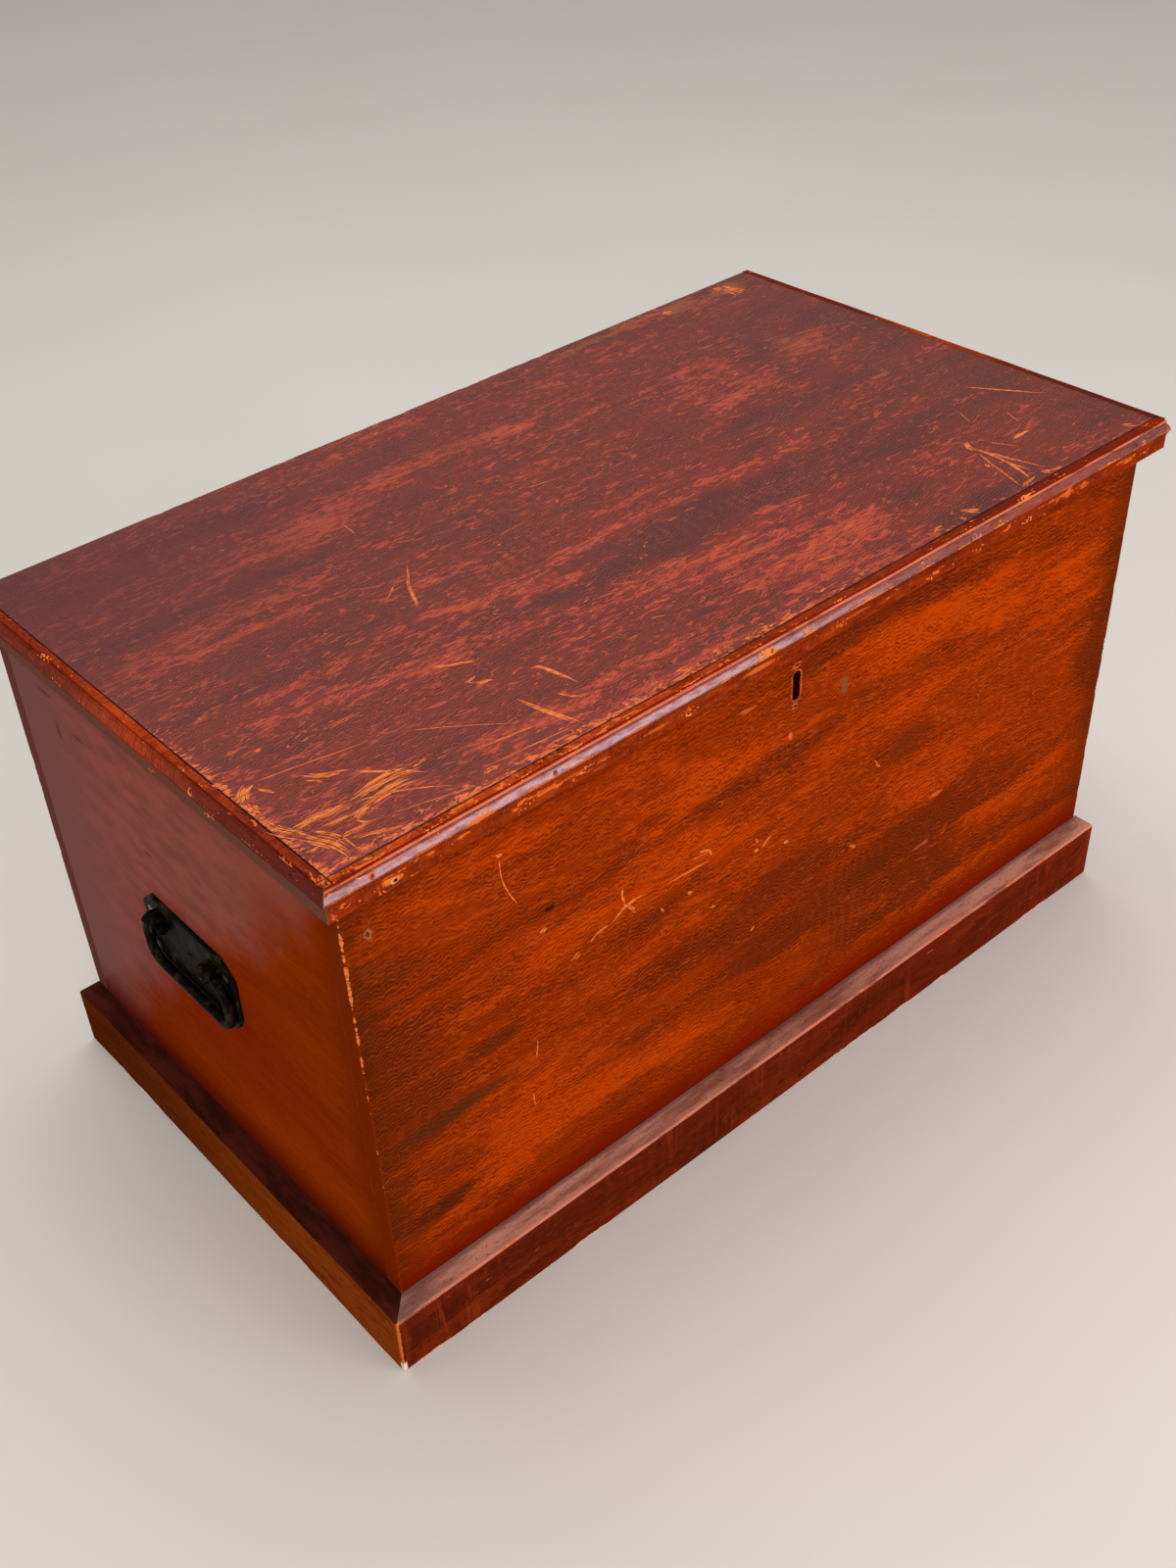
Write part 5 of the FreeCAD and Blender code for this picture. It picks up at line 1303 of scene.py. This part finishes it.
def wear_lid(stations, p, q, calm):
    """The lid's top follows the dip, and its upper back arris is knocked."""
    points = np.stack(np.broadcast_arrays(stations[:, None], p, q), -1)
    upper = q > TOP - 0.0004
    q = q + lid_dip(points) * calm * upper
    return knock((LID_Y[1], TOP), (DIAGONAL, DIAGONAL), chips(stations, 0.0004, 0.0016, 0.3, 0.03, 51),
                 stations, p, q, np.zeros_like(p), calm, 6)


lid = sweep("lid_top", outline, ways, sides, (LID_X[0] + GAP, LID_X[1] - GAP), 0.0022, lengthways,
            [lid_paint, inner_pine], wear_lid, ends=(0.0006, 0.0006), inner=(3,), tone=toned(LID_TONES, 0, 1))
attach(lid, "lid")
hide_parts("lid_board")
for side in ("left", "right"):
    leaf_low, leaf_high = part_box(side + "_hinge_lid_leaf")
    carve(lid, (leaf_low.x, Y_HIGH - LEAF_DEEP, RIM - OVER), (leaf_high.x, Y_HIGH + OVER, RIM + LEAF))
link_low, link_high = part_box("link_plate")
carve(lid, (link_low.x, link_low.y, RIM - OVER), (link_high.x, link_high.y, RIM + LEAF))
print("lid now has", len(lid.data.polygons), "faces")

# %% Moulding profile
FOOT, FOOT_TOP = 0.010, 0.011
NOSE, NOSE_LOW, NOSE_HIGH = 0.0125, 0.018, 0.0243
LIP, LIP_TOP = 0.009, 0.0272
STEP, STRIP_TOP = 0.0076, 0.030
SOFT = 0.0006


def arc_between(start, end, radius, side, count):
    """Points from start to end on a circle of this radius; side 1 bulges to the left of the way."""
    start, end = np.array(start), np.array(end)
    chord = end - start
    length = np.linalg.norm(chord)
    left = np.array([-chord[1], chord[0]]) / length
    centre = (start + end) / 2 - left * side * math.sqrt(radius ** 2 - (length / 2) ** 2)
    first, last = (math.atan2(*(point - centre)[::-1]) for point in (start, end))
    turn = (last - first + math.pi) % math.tau - math.pi
    angles = first + turn * np.linspace(0, 1, count)
    return centre + radius * np.stack([np.cos(angles), np.sin(angles)], 1)


def resample(line, pitch):
    """The same line with evenly spaced points."""
    steps = np.r_[0, np.cumsum(np.linalg.norm(np.diff(line, axis=0), axis=1))]
    places = np.linspace(0, steps[-1], max(2, int(round(steps[-1] / pitch)) + 1))
    return np.stack([np.interp(places, steps, line[:, 0]), np.interp(places, steps, line[:, 1])], 1)


def moulding_outline():
    """
    The moulding's section, out from the lid's edge and up from its foot, anticlockwise: foot, hollow, round
    nose, a thin lip, and a step up to the strip beside the lid. Hidden runs get fewer points. Each point's
    outward direction is square to the chord of its neighbours.
    """
    hollow = arc_between((FOOT, FOOT_TOP), (NOSE - 0.0004, NOSE_LOW - 0.0006), 0.009, 1, 12)
    nose = arc_between((NOSE, NOSE_LOW + 0.0006), (0.0094, NOSE_HIGH), 0.018, -1, 12)
    seen = resample(np.concatenate([
        [(FOOT - SOFT, 0.0), (FOOT - 0.3 * SOFT, 0.3 * SOFT), (FOOT, SOFT)], hollow, [(NOSE, NOSE_LOW)], nose,
        [(0.0087, 0.0249), (LIP, 0.0255), (LIP, LIP_TOP - 0.0002), (LIP - 0.0002, LIP_TOP),
         (STEP, LIP_TOP + 0.0001), (STEP, STRIP_TOP - SOFT), (STEP - 0.3 * SOFT, STRIP_TOP - 0.3 * SOFT)]]),
        0.00045)
    top = resample(np.array([(STEP - SOFT, STRIP_TOP), (0.0007, STRIP_TOP)]), 0.0008)
    back = resample(np.array([(0.0002, STRIP_TOP - 0.0002), (0.0, STRIP_TOP - 0.0007), (0.0, 0.0003)]), 0.005)
    under = resample(np.array([(0.0003, 0.0), (FOOT - 3 * SOFT, 0.0)]), 0.005)
    line = np.concatenate([seen, top, back, under])
    along = np.roll(line, -1, 0) - np.roll(line, 1, 0)
    along /= np.linalg.norm(along, axis=1)[:, None]
    return line, np.stack([along[:, 1], -along[:, 0]], 1)


profile, profile_ways = moulding_outline()
print("moulding profile:", len(profile), "points")

# %% Worn moulding
SIDE_NAILS = Y_LOW + (Y_HIGH - Y_LOW) * np.array((0.065, 0.31, 0.577, 0.93))
NAIL_UP = 0.021
PIT, PIT_RIM = 0.0016, 0.0032


def bell(distance, width):
    """A bell curve: 1 at no distance, a third at the width."""
    return np.exp(-(distance / width) ** 2)


def wear_moulding(seed, nails, rub, arris):
    """
    Rub the nose and the arrises in patches, and sink a small pit over each nail. Each rubbed run is a bell
    curve of the distance to it; where their sum and noise pass a limit, the paint is lost.
    """

    def shape(stations, p, q, calm):
        """Each point moves out by a soft wave, and in where paint is lost and at the nails."""
        base = np.stack(np.broadcast_arrays(stations[:, None], p, q), -1)
        out = (np.clip(ripple(base, 0.09, seed), -1.7, 1.7) - 1.75) * 0.00012
        coarse = ripple(base * (0.35, 1, 1), 0.012, seed + 1)
        fine = ripple(base, 0.003, seed + 2)
        edge = bell(q - NOSE_LOW, 0.0016) * (p > FOOT) * 0.9
        brow = bell(q - 0.022, 0.003) * (p > FOOT - 0.001) * 0.25
        lip = bell(np.hypot(p - LIP, q - LIP_TOP), 0.0011) * 1.3 * arris
        rim = bell(np.hypot(p - STEP, q - STRIP_TOP), 0.0012) * 0.7 * arris
        foot = bell(q - 0.006, 0.004) * (p > FOOT - 0.0015) * 0.42
        worn = (edge + brow + lip + rim + foot) * rub(stations)[:, None]
        lost = np.clip((coarse + 0.6 * fine + 2.2 * worn - 2.0) * 1.6, 0, 1) * calm
        out = out - lost * 0.0002
        for nail in nails:
            gap = np.hypot(stations[:, None] - nail, q - NAIL_UP)
            pit = np.clip(1.25 - gap / PIT, 0, 1) * (p > FOOT)
            out = out - PIT * pit
            torn = np.clip(1.4 - gap / PIT_RIM + 0.5 * coarse, 0, 1) * (p > FOOT) * (pit < 0.3)
            lost = np.maximum(lost, torn)
        return p + out * profile_ways[None, :, 0] * calm, q + out * profile_ways[None, :, 1] * calm, lost

    return shape


def near_nails(nails):
    """More stations close to each nail, 0.4 mm apart, so that its pit is round."""
    return (np.array(nails)[:, None] + np.linspace(-0.0024, 0.0024, 13)[None]).ravel()


print(len(FRONT_NAILS), "nails in the front moulding,", len(SIDE_NAILS), "in each side")

# %% Mouldings
one_side = np.zeros(len(profile), int)
FOOT_Z = TOP - STRIP_TOP
strips = {
    "front": ((LID_X[0], LID_X[1]), (-1.0, 1.0), FRONT_NAILS, (0.0003, 0.0003),
              lambda s, p, q: np.stack([s, LID_Y[0] - p, FOOT_Z + q], -1)),
    "left": ((LID_Y[0], LID_Y[1]), (-1.0, 0.0), SIDE_NAILS, (0.0003, 0.0006),
             lambda s, p, q: np.stack([LID_X[0] - p, s, FOOT_Z + q], -1)),
    "right": ((LID_Y[0], LID_Y[1]), (-1.0, 0.0), SIDE_NAILS, (0.0003, 0.0006),
              lambda s, p, q: np.stack([LID_X[1] + p, s, FOOT_Z + q], -1)),
}
for number, (name, (span, slant, nails, ends, place)) in enumerate(strips.items()):
    paint, least, arris = (moulding_paint, 0.75, 1.0) if name == "front" else (return_paint, 0.45, 0.3)
    worn = wear_moulding(60 + 10 * number, nails, lambda s: least + 0.5 * ragged(s, 0.08, 7), arris)
    strip = sweep(name + "_moulding", profile, profile_ways, one_side, span, 0.0016, place, [paint], worn,
                  ends=ends, slant=slant, extra=near_nails(nails))
    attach(strip, "lid")
    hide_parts("lid_moulding_" + name)
    if name == "front":
        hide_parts("moulding_nails")

# %% [markdown]
# ## The plinth
# Two boards nailed round the foot of the front and the left end, mitred at the front left corner and cut
# square at their far ends. Their top outer arris is rounded by feet and brooms.

# %% Plinth


def plinth_board(name, span, slant, place, seed, depth, paint):
    """A rectangle carried along, a little hollow by soft waves, and knocked at its two outer arrises."""
    outline, ways, sides = box_outline((GAP, 0.0), (PLINTH_DEEP, PLINTH_TALL),
                                       (0.0006, 0.0016, 0.0003, 0.0003), (0.006, 0.004, 0.02, 0.02))

    def shape(stations, p, q, calm):
        """Each point moves in by a soft wave, and then both outer arrises are knocked."""
        points = np.stack(np.broadcast_arrays(stations[:, None], p, q), -1)
        out = -np.abs(ripple(points, 0.12, seed)) * 0.00015 * calm
        p, q = p + out * ways[None, :, 0], q + out * ways[None, :, 1]
        p, q, bare = knock((PLINTH_DEEP, PLINTH_TALL), (DIAGONAL, DIAGONAL), depth(stations), stations, p, q,
                           np.zeros_like(p), calm, seed)
        below = chips(stations, 0.0003, 0.0016, 0.3, 0.03, seed + 5)
        return knock((PLINTH_DEEP, 0.0), (DIAGONAL, -DIAGONAL), below, stations, p, q, bare, calm, seed + 6)

    made = sweep(name, outline, ways, sides, span, 0.0016, place, [paint], shape, ends=(0.0003, 0.0006),
                 slant=slant)
    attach(made, "carcass")
    return made


FRONT_WEAR = [-0.45, -0.4, -0.2, 0.2, 0.46], [1.6, 0.8, 0.4, 0.6, 1.2]
plinth = plinth_board("front_plinth", (X_LOW, X_HIGH + 0.002), (-1.0, 0.0),
                      lambda s, p, q: np.stack([s, Y_LOW - p, q], -1), 71,
                      lambda s: chips(s, 0.0005, 0.0013, 0.3, 0.012, 72, FRONT_WEAR), plinth_paint)
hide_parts("plinth_front", "plinth_nails")
return_plinth = plinth_board("left_plinth", (Y_LOW, Y_HIGH), (-1.0, 0.0),
                             lambda s, p, q: np.stack([X_LOW - p, s, q], -1), 81,
                             lambda s: chips(s, 0.0004, 0.0006, 0.05, 0.012, 82), plinth_return_paint)
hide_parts("plinth_left")

# %% [markdown]
# ## Scratches and chips
# Boxes and tools were dragged over the lid, most of all at its front left corner. A scratch through paint
# is not one clean line: it is a bundle of thin torn strands side by side. Each mark is a short list of
# places in millimetres and a width; strands are laid beside that line, each a thin sliver that rises a
# few hundredths of a millimetre from the surface, follows its waves and shows the orange ground.

# %% Marks on the lid and the front
LID_MARKS = [
    (1.0, [(-432, -131), (-392, -138), (-366, -144), (-342, -148)]),
    (0.7, [(-320, -155), (-294, -172), (-251, -208)]),
    (9.0, [(-432, -131), (-440, -136), (-444, -142), (-446, -150)]),
    (3.0, [(-446, -148), (-446, -158), (-445, -166)]),
    (3.0, [(-433, -138), (-424, -153)]),
    (5.0, [(-401, -148), (-391, -160), (-380, -164), (-371, -170)]),
    (1.4, [(-374, -168), (-352, -190), (-332, -210)]),
    (2.2, [(-403, -155), (-396, -160), (-394, -169)]),
    (7.0, [(-440, -195), (-424, -195), (-410, -198), (-391, -196)]),
    (10.0, [(-394, -196), (-373, -193), (-356, -192), (-344, -194), (-336, -203)]),
    (2.0, [(-340, -197), (-330, -194), (-321, -194)]),
    (2.4, [(-428, -205), (-412, -210), (-389, -209)]),
    (7.5, [(-392, -209), (-370, -206), (-359, -204), (-342, -208)]),
    (2.2, [(-404, -197), (-379, -203), (-353, -215), (-325, -238)]),
    (3.4, [(-403, -217), (-395, -212), (-384, -208)]),
    (2.0, [(-403, -217), (-399, -223), (-394, -225)]),
    (8.0, [(-451, -176), (-447, -190), (-443, -196), (-434, -211)]),
    (11.0, [(-440, -202), (-434, -212), (-428, -222), (-425, -234), (-425, -246)]),
    (3.0, [(-428, -226), (-412, -225), (-396, -226)]),
    (3.0, [(-420, -229), (-396, -238), (-377, -247)]),
    (2.6, [(-448, -223), (-435, -224)]),
    (1.4, [(-293, -211), (-265, -216), (-233, -221)]),
    (3.0, [(-233, -184), (-230, -196), (-227, -212), (-222, -230), (-218, -246)]),
    (1.0, [(-233, -184), (-230, -196), (-227, -212)]),
    (4.0, [(-344, -246), (-343, -251)]),
    (5.0, [(-451, -112), (-449, -122)]),
    (6.0, [(-449, -152), (-446, -162)]),
    (3.6, [(-171, 32), (-183, 15), (-194, 0), (-208, -34)]),
    (2.0, [(-195, 17), (-221, -4)]),
    (0.9, [(-171, 124), (-173, 105)]),
    (2.8, [(-252, -106), (-236, -115), (-220, -124)]),
    (3.0, [(-248, -140), (-240, -139), (-234, -137)]),
    (3.0, [(-242, -147), (-226, -150)]),
    (1.0, [(-248, -140), (-226, -154)]),
    (3.0, [(-203, -160), (-193, -162), (-189, -181), (-186, -204)]),
    (1.2, [(-72, -158), (-57, -163)]),
    (1.2, [(-87, -174), (-76, -179)]),
    (4.0, [(309, -160), (301, -170), (303, -180)]),
    (2.6, [(304, -168), (306, -188), (309, -206), (314, -226), (318, -244)]),
    (2.4, [(302, -170), (306, -194), (304, -214), (306, -238)]),
    (2.4, [(304, -172), (298, -186), (290, -208), (282, -232), (276, -248)]),
    (1.6, [(307, -202), (301, -222), (293, -244)]),
    (2.6, [(276, -248), (288, -246), (302, -244)]),
    (4.0, [(283, -244), (281, -251)]),
    (3.4, [(288, -200), (284, -206)]),
    (2.6, [(312, -246), (330, -250)]),
    (1.0, [(322, -176), (334, -200)]),
    (0.9, [(380, -150), (372, -170)]),
    (1.0, [(350, -120), (342, -140)]),
    (2.4, [(341, -186), (366, -188)]),
    (4.5, [(208, -237), (223, -250)]),
    (2.4, [(199, -242), (201, -250)]),
    (2.2, [(394, -88), (428, -140), (452, -172)]),
    (5.0, [(310, -242), (316, -250)]),
    (4.0, [(428, -240), (436, -247)]),
    (12.0, [(402, 250), (412, 246)]),
    (8.0, [(322, 240), (337, 246)]),
    (12.0, [(413, 252), (417, 236), (420, 222)]),
    (4.0, [(-208, -196), (-198, -214), (-187, -216)]),
    (1.0, [(-300, -232), (-262, -236), (-220, -240)]),
    (0.8, [(-382, -228), (-350, -236), (-318, -246)]),
    (0.8, [(60, -206), (92, -214)]),
    (0.7, [(120, -120), (146, -128)]),
    (0.6, [(-20, 60), (18, 52)]),
]
FRONT_MARKS = [
    (1.2, [(-308, 454), (-308, 435), (-303, 419), (-295, 402)]),
    (3.2, [(-311, 458), (-305, 456)]),
    (2.6, [(-227, 320), (-216, 325), (-203, 324)]),
    (1.7, [(-206, 323), (-193, 331), (-186, 333), (-178, 335), (-165, 333)]),
    (1.4, [(-190, 355), (-192, 346), (-187, 335)]),
    (1.4, [(-190, 338), (-183, 330), (-176, 320)]),
    (3.0, [(-276, 360), (-271, 362), (-267, 364)]),
    (3.6, [(-247, 312), (-241, 315), (-238, 318)]),
    (2.6, [(-150, 308), (-147, 300)]),
    (1.2, [(-116, 340), (-107, 337), (-93, 336)]),
    (2.2, [(-109, 343), (-97, 340), (-92, 335), (-92, 329)]),
    (1.3, [(-146, 331), (-129, 330), (-110, 328), (-91, 326)]),
    (2.2, [(-31, 303), (-26, 308), (-19, 311)]),
    (3.0, [(-5, 295), (3, 290)]),
    (3.0, [(84, 239), (94, 232)]),
    (2.0, [(109, 323), (120, 307)]),
    (2.6, [(-42, 213), (-38, 217)]),
    (2.0, [(-39, 318), (-37, 313)]),
    (2.4, [(-42, 306), (-36, 305)]),
    (2.0, [(-119, 306), (-114, 302)]),
    (2.2, [(-94, 274), (-87, 271)]),
    (1.0, [(-286, 252), (-287, 241), (-289, 232)]),
    (1.0, [(-295, 195), (-294, 179)]),
]
print(len(LID_MARKS), "marks on the lid,", len(FRONT_MARKS), "on the front")

# %% Strands


def smooth_line(places, pitch):
    """A line through the places with its corners eased: cut each corner twice, then space it evenly."""
    line = np.array(places, float)
    for _ in range(2):
        inner = np.stack([0.75 * line[:-1] + 0.25 * line[1:], 0.25 * line[:-1] + 0.75 * line[1:]], 1)
        line = np.concatenate([line[:1], inner.reshape(-1, 2), line[-1:]])
    return resample(line, pitch)


SECTION = np.array([(-1.0, 0.25), (-0.5, 1.0), (0.5, 1.0), (1.0, 0.25), (0.6, -3.0), (-0.6, -3.0)])
SECTION_BARE = np.array([0.3, 1.0, 1.0, 0.3, 0.3, 0.3])
LIFT_MM = 0.05
LINE_PITCH, THIN_MARK = 1.3, 1.3


def strand(line, half, rng):
    """
    A sliver along a line: its half width is a flat-topped hump along its length times ragged numbers, and
    its section is carried square to the line. Gives across-the-surface points and heights, in millimetres.
    """
    along = np.gradient(line, axis=0)
    along /= np.linalg.norm(along, axis=1)[:, None] + 1e-12
    side = np.stack([-along[:, 1], along[:, 0]], 1)
    t = np.linspace(0, 1, len(line))
    hump = np.clip(np.minimum(t, 1 - t) * rng.uniform(3, 7), 0.12, 1)
    wide = half * hump * (0.45 + 1.1 * ragged(t, 0.12, rng.integers(1e6), 3))
    wander = (ragged(t, 0.5, rng.integers(1e6), 3) - 0.5) * half * 1.5
    spot = line[:, None] + side[:, None] * (SECTION[None, :, 0] * wide[:, None] + wander[:, None])[..., None]
    return spot, np.repeat(SECTION[None, :, 1] * LIFT_MM, len(line), 0)


def scratch_piece(name, marks, surface, material, seed):
    """
    All the strands of a face as one mesh. A thin mark is one strand; a wide one gets more, each a part of
    the line, moved sideways at random.
    """
    rng = np.random.default_rng(seed)
    points, faces, bare, start = [], [], [], 0
    for width, places in marks:
        line = smooth_line(places, LINE_PITCH)
        count = 1 if width < THIN_MARK else int(round(1.5 + width * 1.2))
        for _ in range(count):
            half = 0.5 * width if count == 1 else rng.uniform(0.35, 1.0)
            shift = 0.0 if count == 1 else rng.normal() * width * 0.3
            first = 0 if count == 1 else int(rng.uniform(0, 0.35) * len(line))
            last = len(line) if count == 1 else int(rng.uniform(0.6, 1.0) * len(line))
            part = line[first:max(last, first + 5)]
            if len(part) < 4:
                part = resample(line, np.linalg.norm(line[-1] - line[0]) / 6)
            along = part[-1] - part[0]
            square = np.array([-along[1], along[0]]) / (np.linalg.norm(along) + 1e-9)
            spot, lift = strand(part + square * shift, half, rng)
            rows, columns = lift.shape
            points.append(surface(spot / 1000, lift / 1000).reshape(-1, 3))
            faces += (grid_faces(rows, columns) + start).tolist()
            faces += [list(range(start, start + columns))[::-1],
                      list(range(start + (rows - 1) * columns, start + rows * columns))]
            bare.append(np.repeat(SECTION_BARE[None], rows, 0).ravel())
            start += rows * columns
    points = np.concatenate(points)
    quads = np.array([face for face in faces if len(face) == 4])
    if volume(points, quads) < 0:
        faces = [face[::-1] for face in faces]
    made = put_mesh(name, points.tolist(), faces, [material], bare=np.concatenate(bare))
    print(name, len(points), "points")
    return made


def on_lid(spot, lift):
    """Places across the lid and heights over it, set on its dipping top."""
    flat = np.concatenate([spot, np.full(spot.shape[:-1] + (1,), TOP)], -1)
    return np.concatenate([spot, (TOP + lid_dip(flat) + lift)[..., None]], -1)


def on_front(spot, lift):
    """Places across the front and heights over it, set on its swell."""
    flat = np.stack([spot[..., 0], np.full(spot.shape[:-1], Y_LOW), spot[..., 1]], -1)
    depth = Y_LOW - ripple(flat, SWELL_LENGTH, FRONT_SEED) * SWELL - lift
    return np.stack([spot[..., 0], depth, spot[..., 1]], -1)


lid_scratches = scratch_piece("lid_scratches", LID_MARKS, on_lid, lid_paint, 5)
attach(lid_scratches, "lid")
front_scratches = scratch_piece("front_scratches", FRONT_MARKS, on_front, front_paint, 9)
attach(front_scratches, "carcass")

# %% [markdown]
# ## Behind the handles
# Each handle's back plate reaches down behind the grip as far as the grip does. The lower part is a thin
# plate with two round corners, set a hair behind the plate's face so that the grip swings clear of it.

# %% Lower back plates
PLATE_THICK, BEHIND = 0.0035, 0.0001
PLATE_SIDE, PLATE_FOOT, PLATE_LAP, PLATE_CORNER = 0.002, 0.0005, 0.025, 0.009


def belly(name, bail, face, side):
    """Round the two lower corners with quarter circles, then carry that outline through the thickness."""
    low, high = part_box(bail)
    plate_low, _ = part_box(bail.replace("bail", "handle_plate"))
    y0, y1 = low.y + PLATE_SIDE, high.y - PLATE_SIDE
    z0, z1 = low.z + PLATE_FOOT, plate_low.z + PLATE_LAP
    turn = np.linspace(0, math.pi / 2, 9)
    across, down = PLATE_CORNER * np.sin(turn), PLATE_CORNER * np.cos(turn)
    fore = np.stack([y0 + PLATE_CORNER - down, z0 + PLATE_CORNER - across], 1)
    rear = np.stack([y1 - PLATE_CORNER + across, z0 + PLATE_CORNER - down], 1)
    line = np.concatenate([[(y0, z1)], fore, rear, [(y1, z1)]])
    corners = [(x, y, z) for x in (face, face + side * (PLATE_THICK - BEHIND)) for y, z in line.tolist()]
    faces = prism_faces(len(line))
    if side < 0:
        faces = [list(ring)[::-1] for ring in faces]
    made = put_mesh(name, corners, faces, [handle_iron])
    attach(made, "carcass")
    print(name, "from z", round(z0, 4), "to", round(z1, 4))


belly("left_plate_belly", "left_bail", X_LOW, -1)
belly("right_plate_belly", "right_bail", X_HIGH, 1)

# %% [markdown]
# ## Floor and light
# A plain pale floor and soft light from large lamps. The lamps and the sky together give about as much
# light as makes a white card white.

# %% Floor
FLOOR_REACH = 9.0


def make_floor():
    """A square in the plane z = 0, of one pale colour with the faintest clouds."""
    mesh = bpy.data.meshes.new("floor")
    corners = [(FLOOR_REACH * x, FLOOR_REACH * y, 0) for x, y in ((-1, -1), (1, -1), (1, 1), (-1, 1))]
    mesh.from_pydata(corners, [], [(0, 1, 2, 3)])
    made = bpy.data.objects.new("floor", mesh)
    bpy.context.scene.collection.objects.link(made)
    material, tree, shader = new_material("pale_floor")
    soft = cloud(tree, object_place(tree), scale=2.0, detail=2)
    colour = blend(tree, soft, shade(222, 214, 202), shade(228, 221, 210))
    feed(tree, shader, {"Base Color": colour, "Roughness": 0.9, "Specular IOR Level": 0.1})
    mesh.materials.append(material)
    return made


make_floor()
print("floor", FLOOR_REACH * 2, "m wide")

# %% Light
world = bpy.data.worlds.new("studio")
bpy.context.scene.world = world
world.use_nodes = True
feed(world.node_tree, world.node_tree.nodes["Background"], {"Color": (0.95, 0.97, 1.0, 1), "Strength": 0.5})


def lamp(name, place, target, size, power, colour):
    """
    A rectangular lamp, wide along the level, that faces a point. Its back is the way from the point to its
    place; its side is level and square to that, and its up is square to both.
    """
    data = bpy.data.lights.new(name, "AREA")
    data.shape = "RECTANGLE"
    data.size, data.size_y = size
    data.energy = power
    data.color = colour
    made = bpy.data.objects.new(name, data)
    made.visible_camera = False
    bpy.context.scene.collection.objects.link(made)
    aim = np.array(target, float) - np.array(place, float)
    back = -aim / np.linalg.norm(aim)
    side = np.cross((0, 0, 1), back)
    side /= np.linalg.norm(side)
    up = np.cross(back, side)
    made.matrix_world = Matrix([[side[i], up[i], back[i], place[i]] for i in range(3)] + [[0, 0, 0, 1]])
    return made


lamp("window_light", (-2.0, -2.6, 2.6), (0, 0, 0.3), (1.8, 1.8), 48, (1.0, 0.97, 0.93))
lamp("front_light", (1.1, -2.45, 1.05), (1.1, 0, 1.05), (1.7, 1.5), 28, (0.95, 0.86, 1.0))
lamp("top_light", (0.3, 0.8, 3.0), (0, 0, 0.5), (2.0, 2.0), 34, (0.97, 0.98, 1.0))
bpy.context.scene.view_settings.view_transform = "Standard"
print("three lamps")
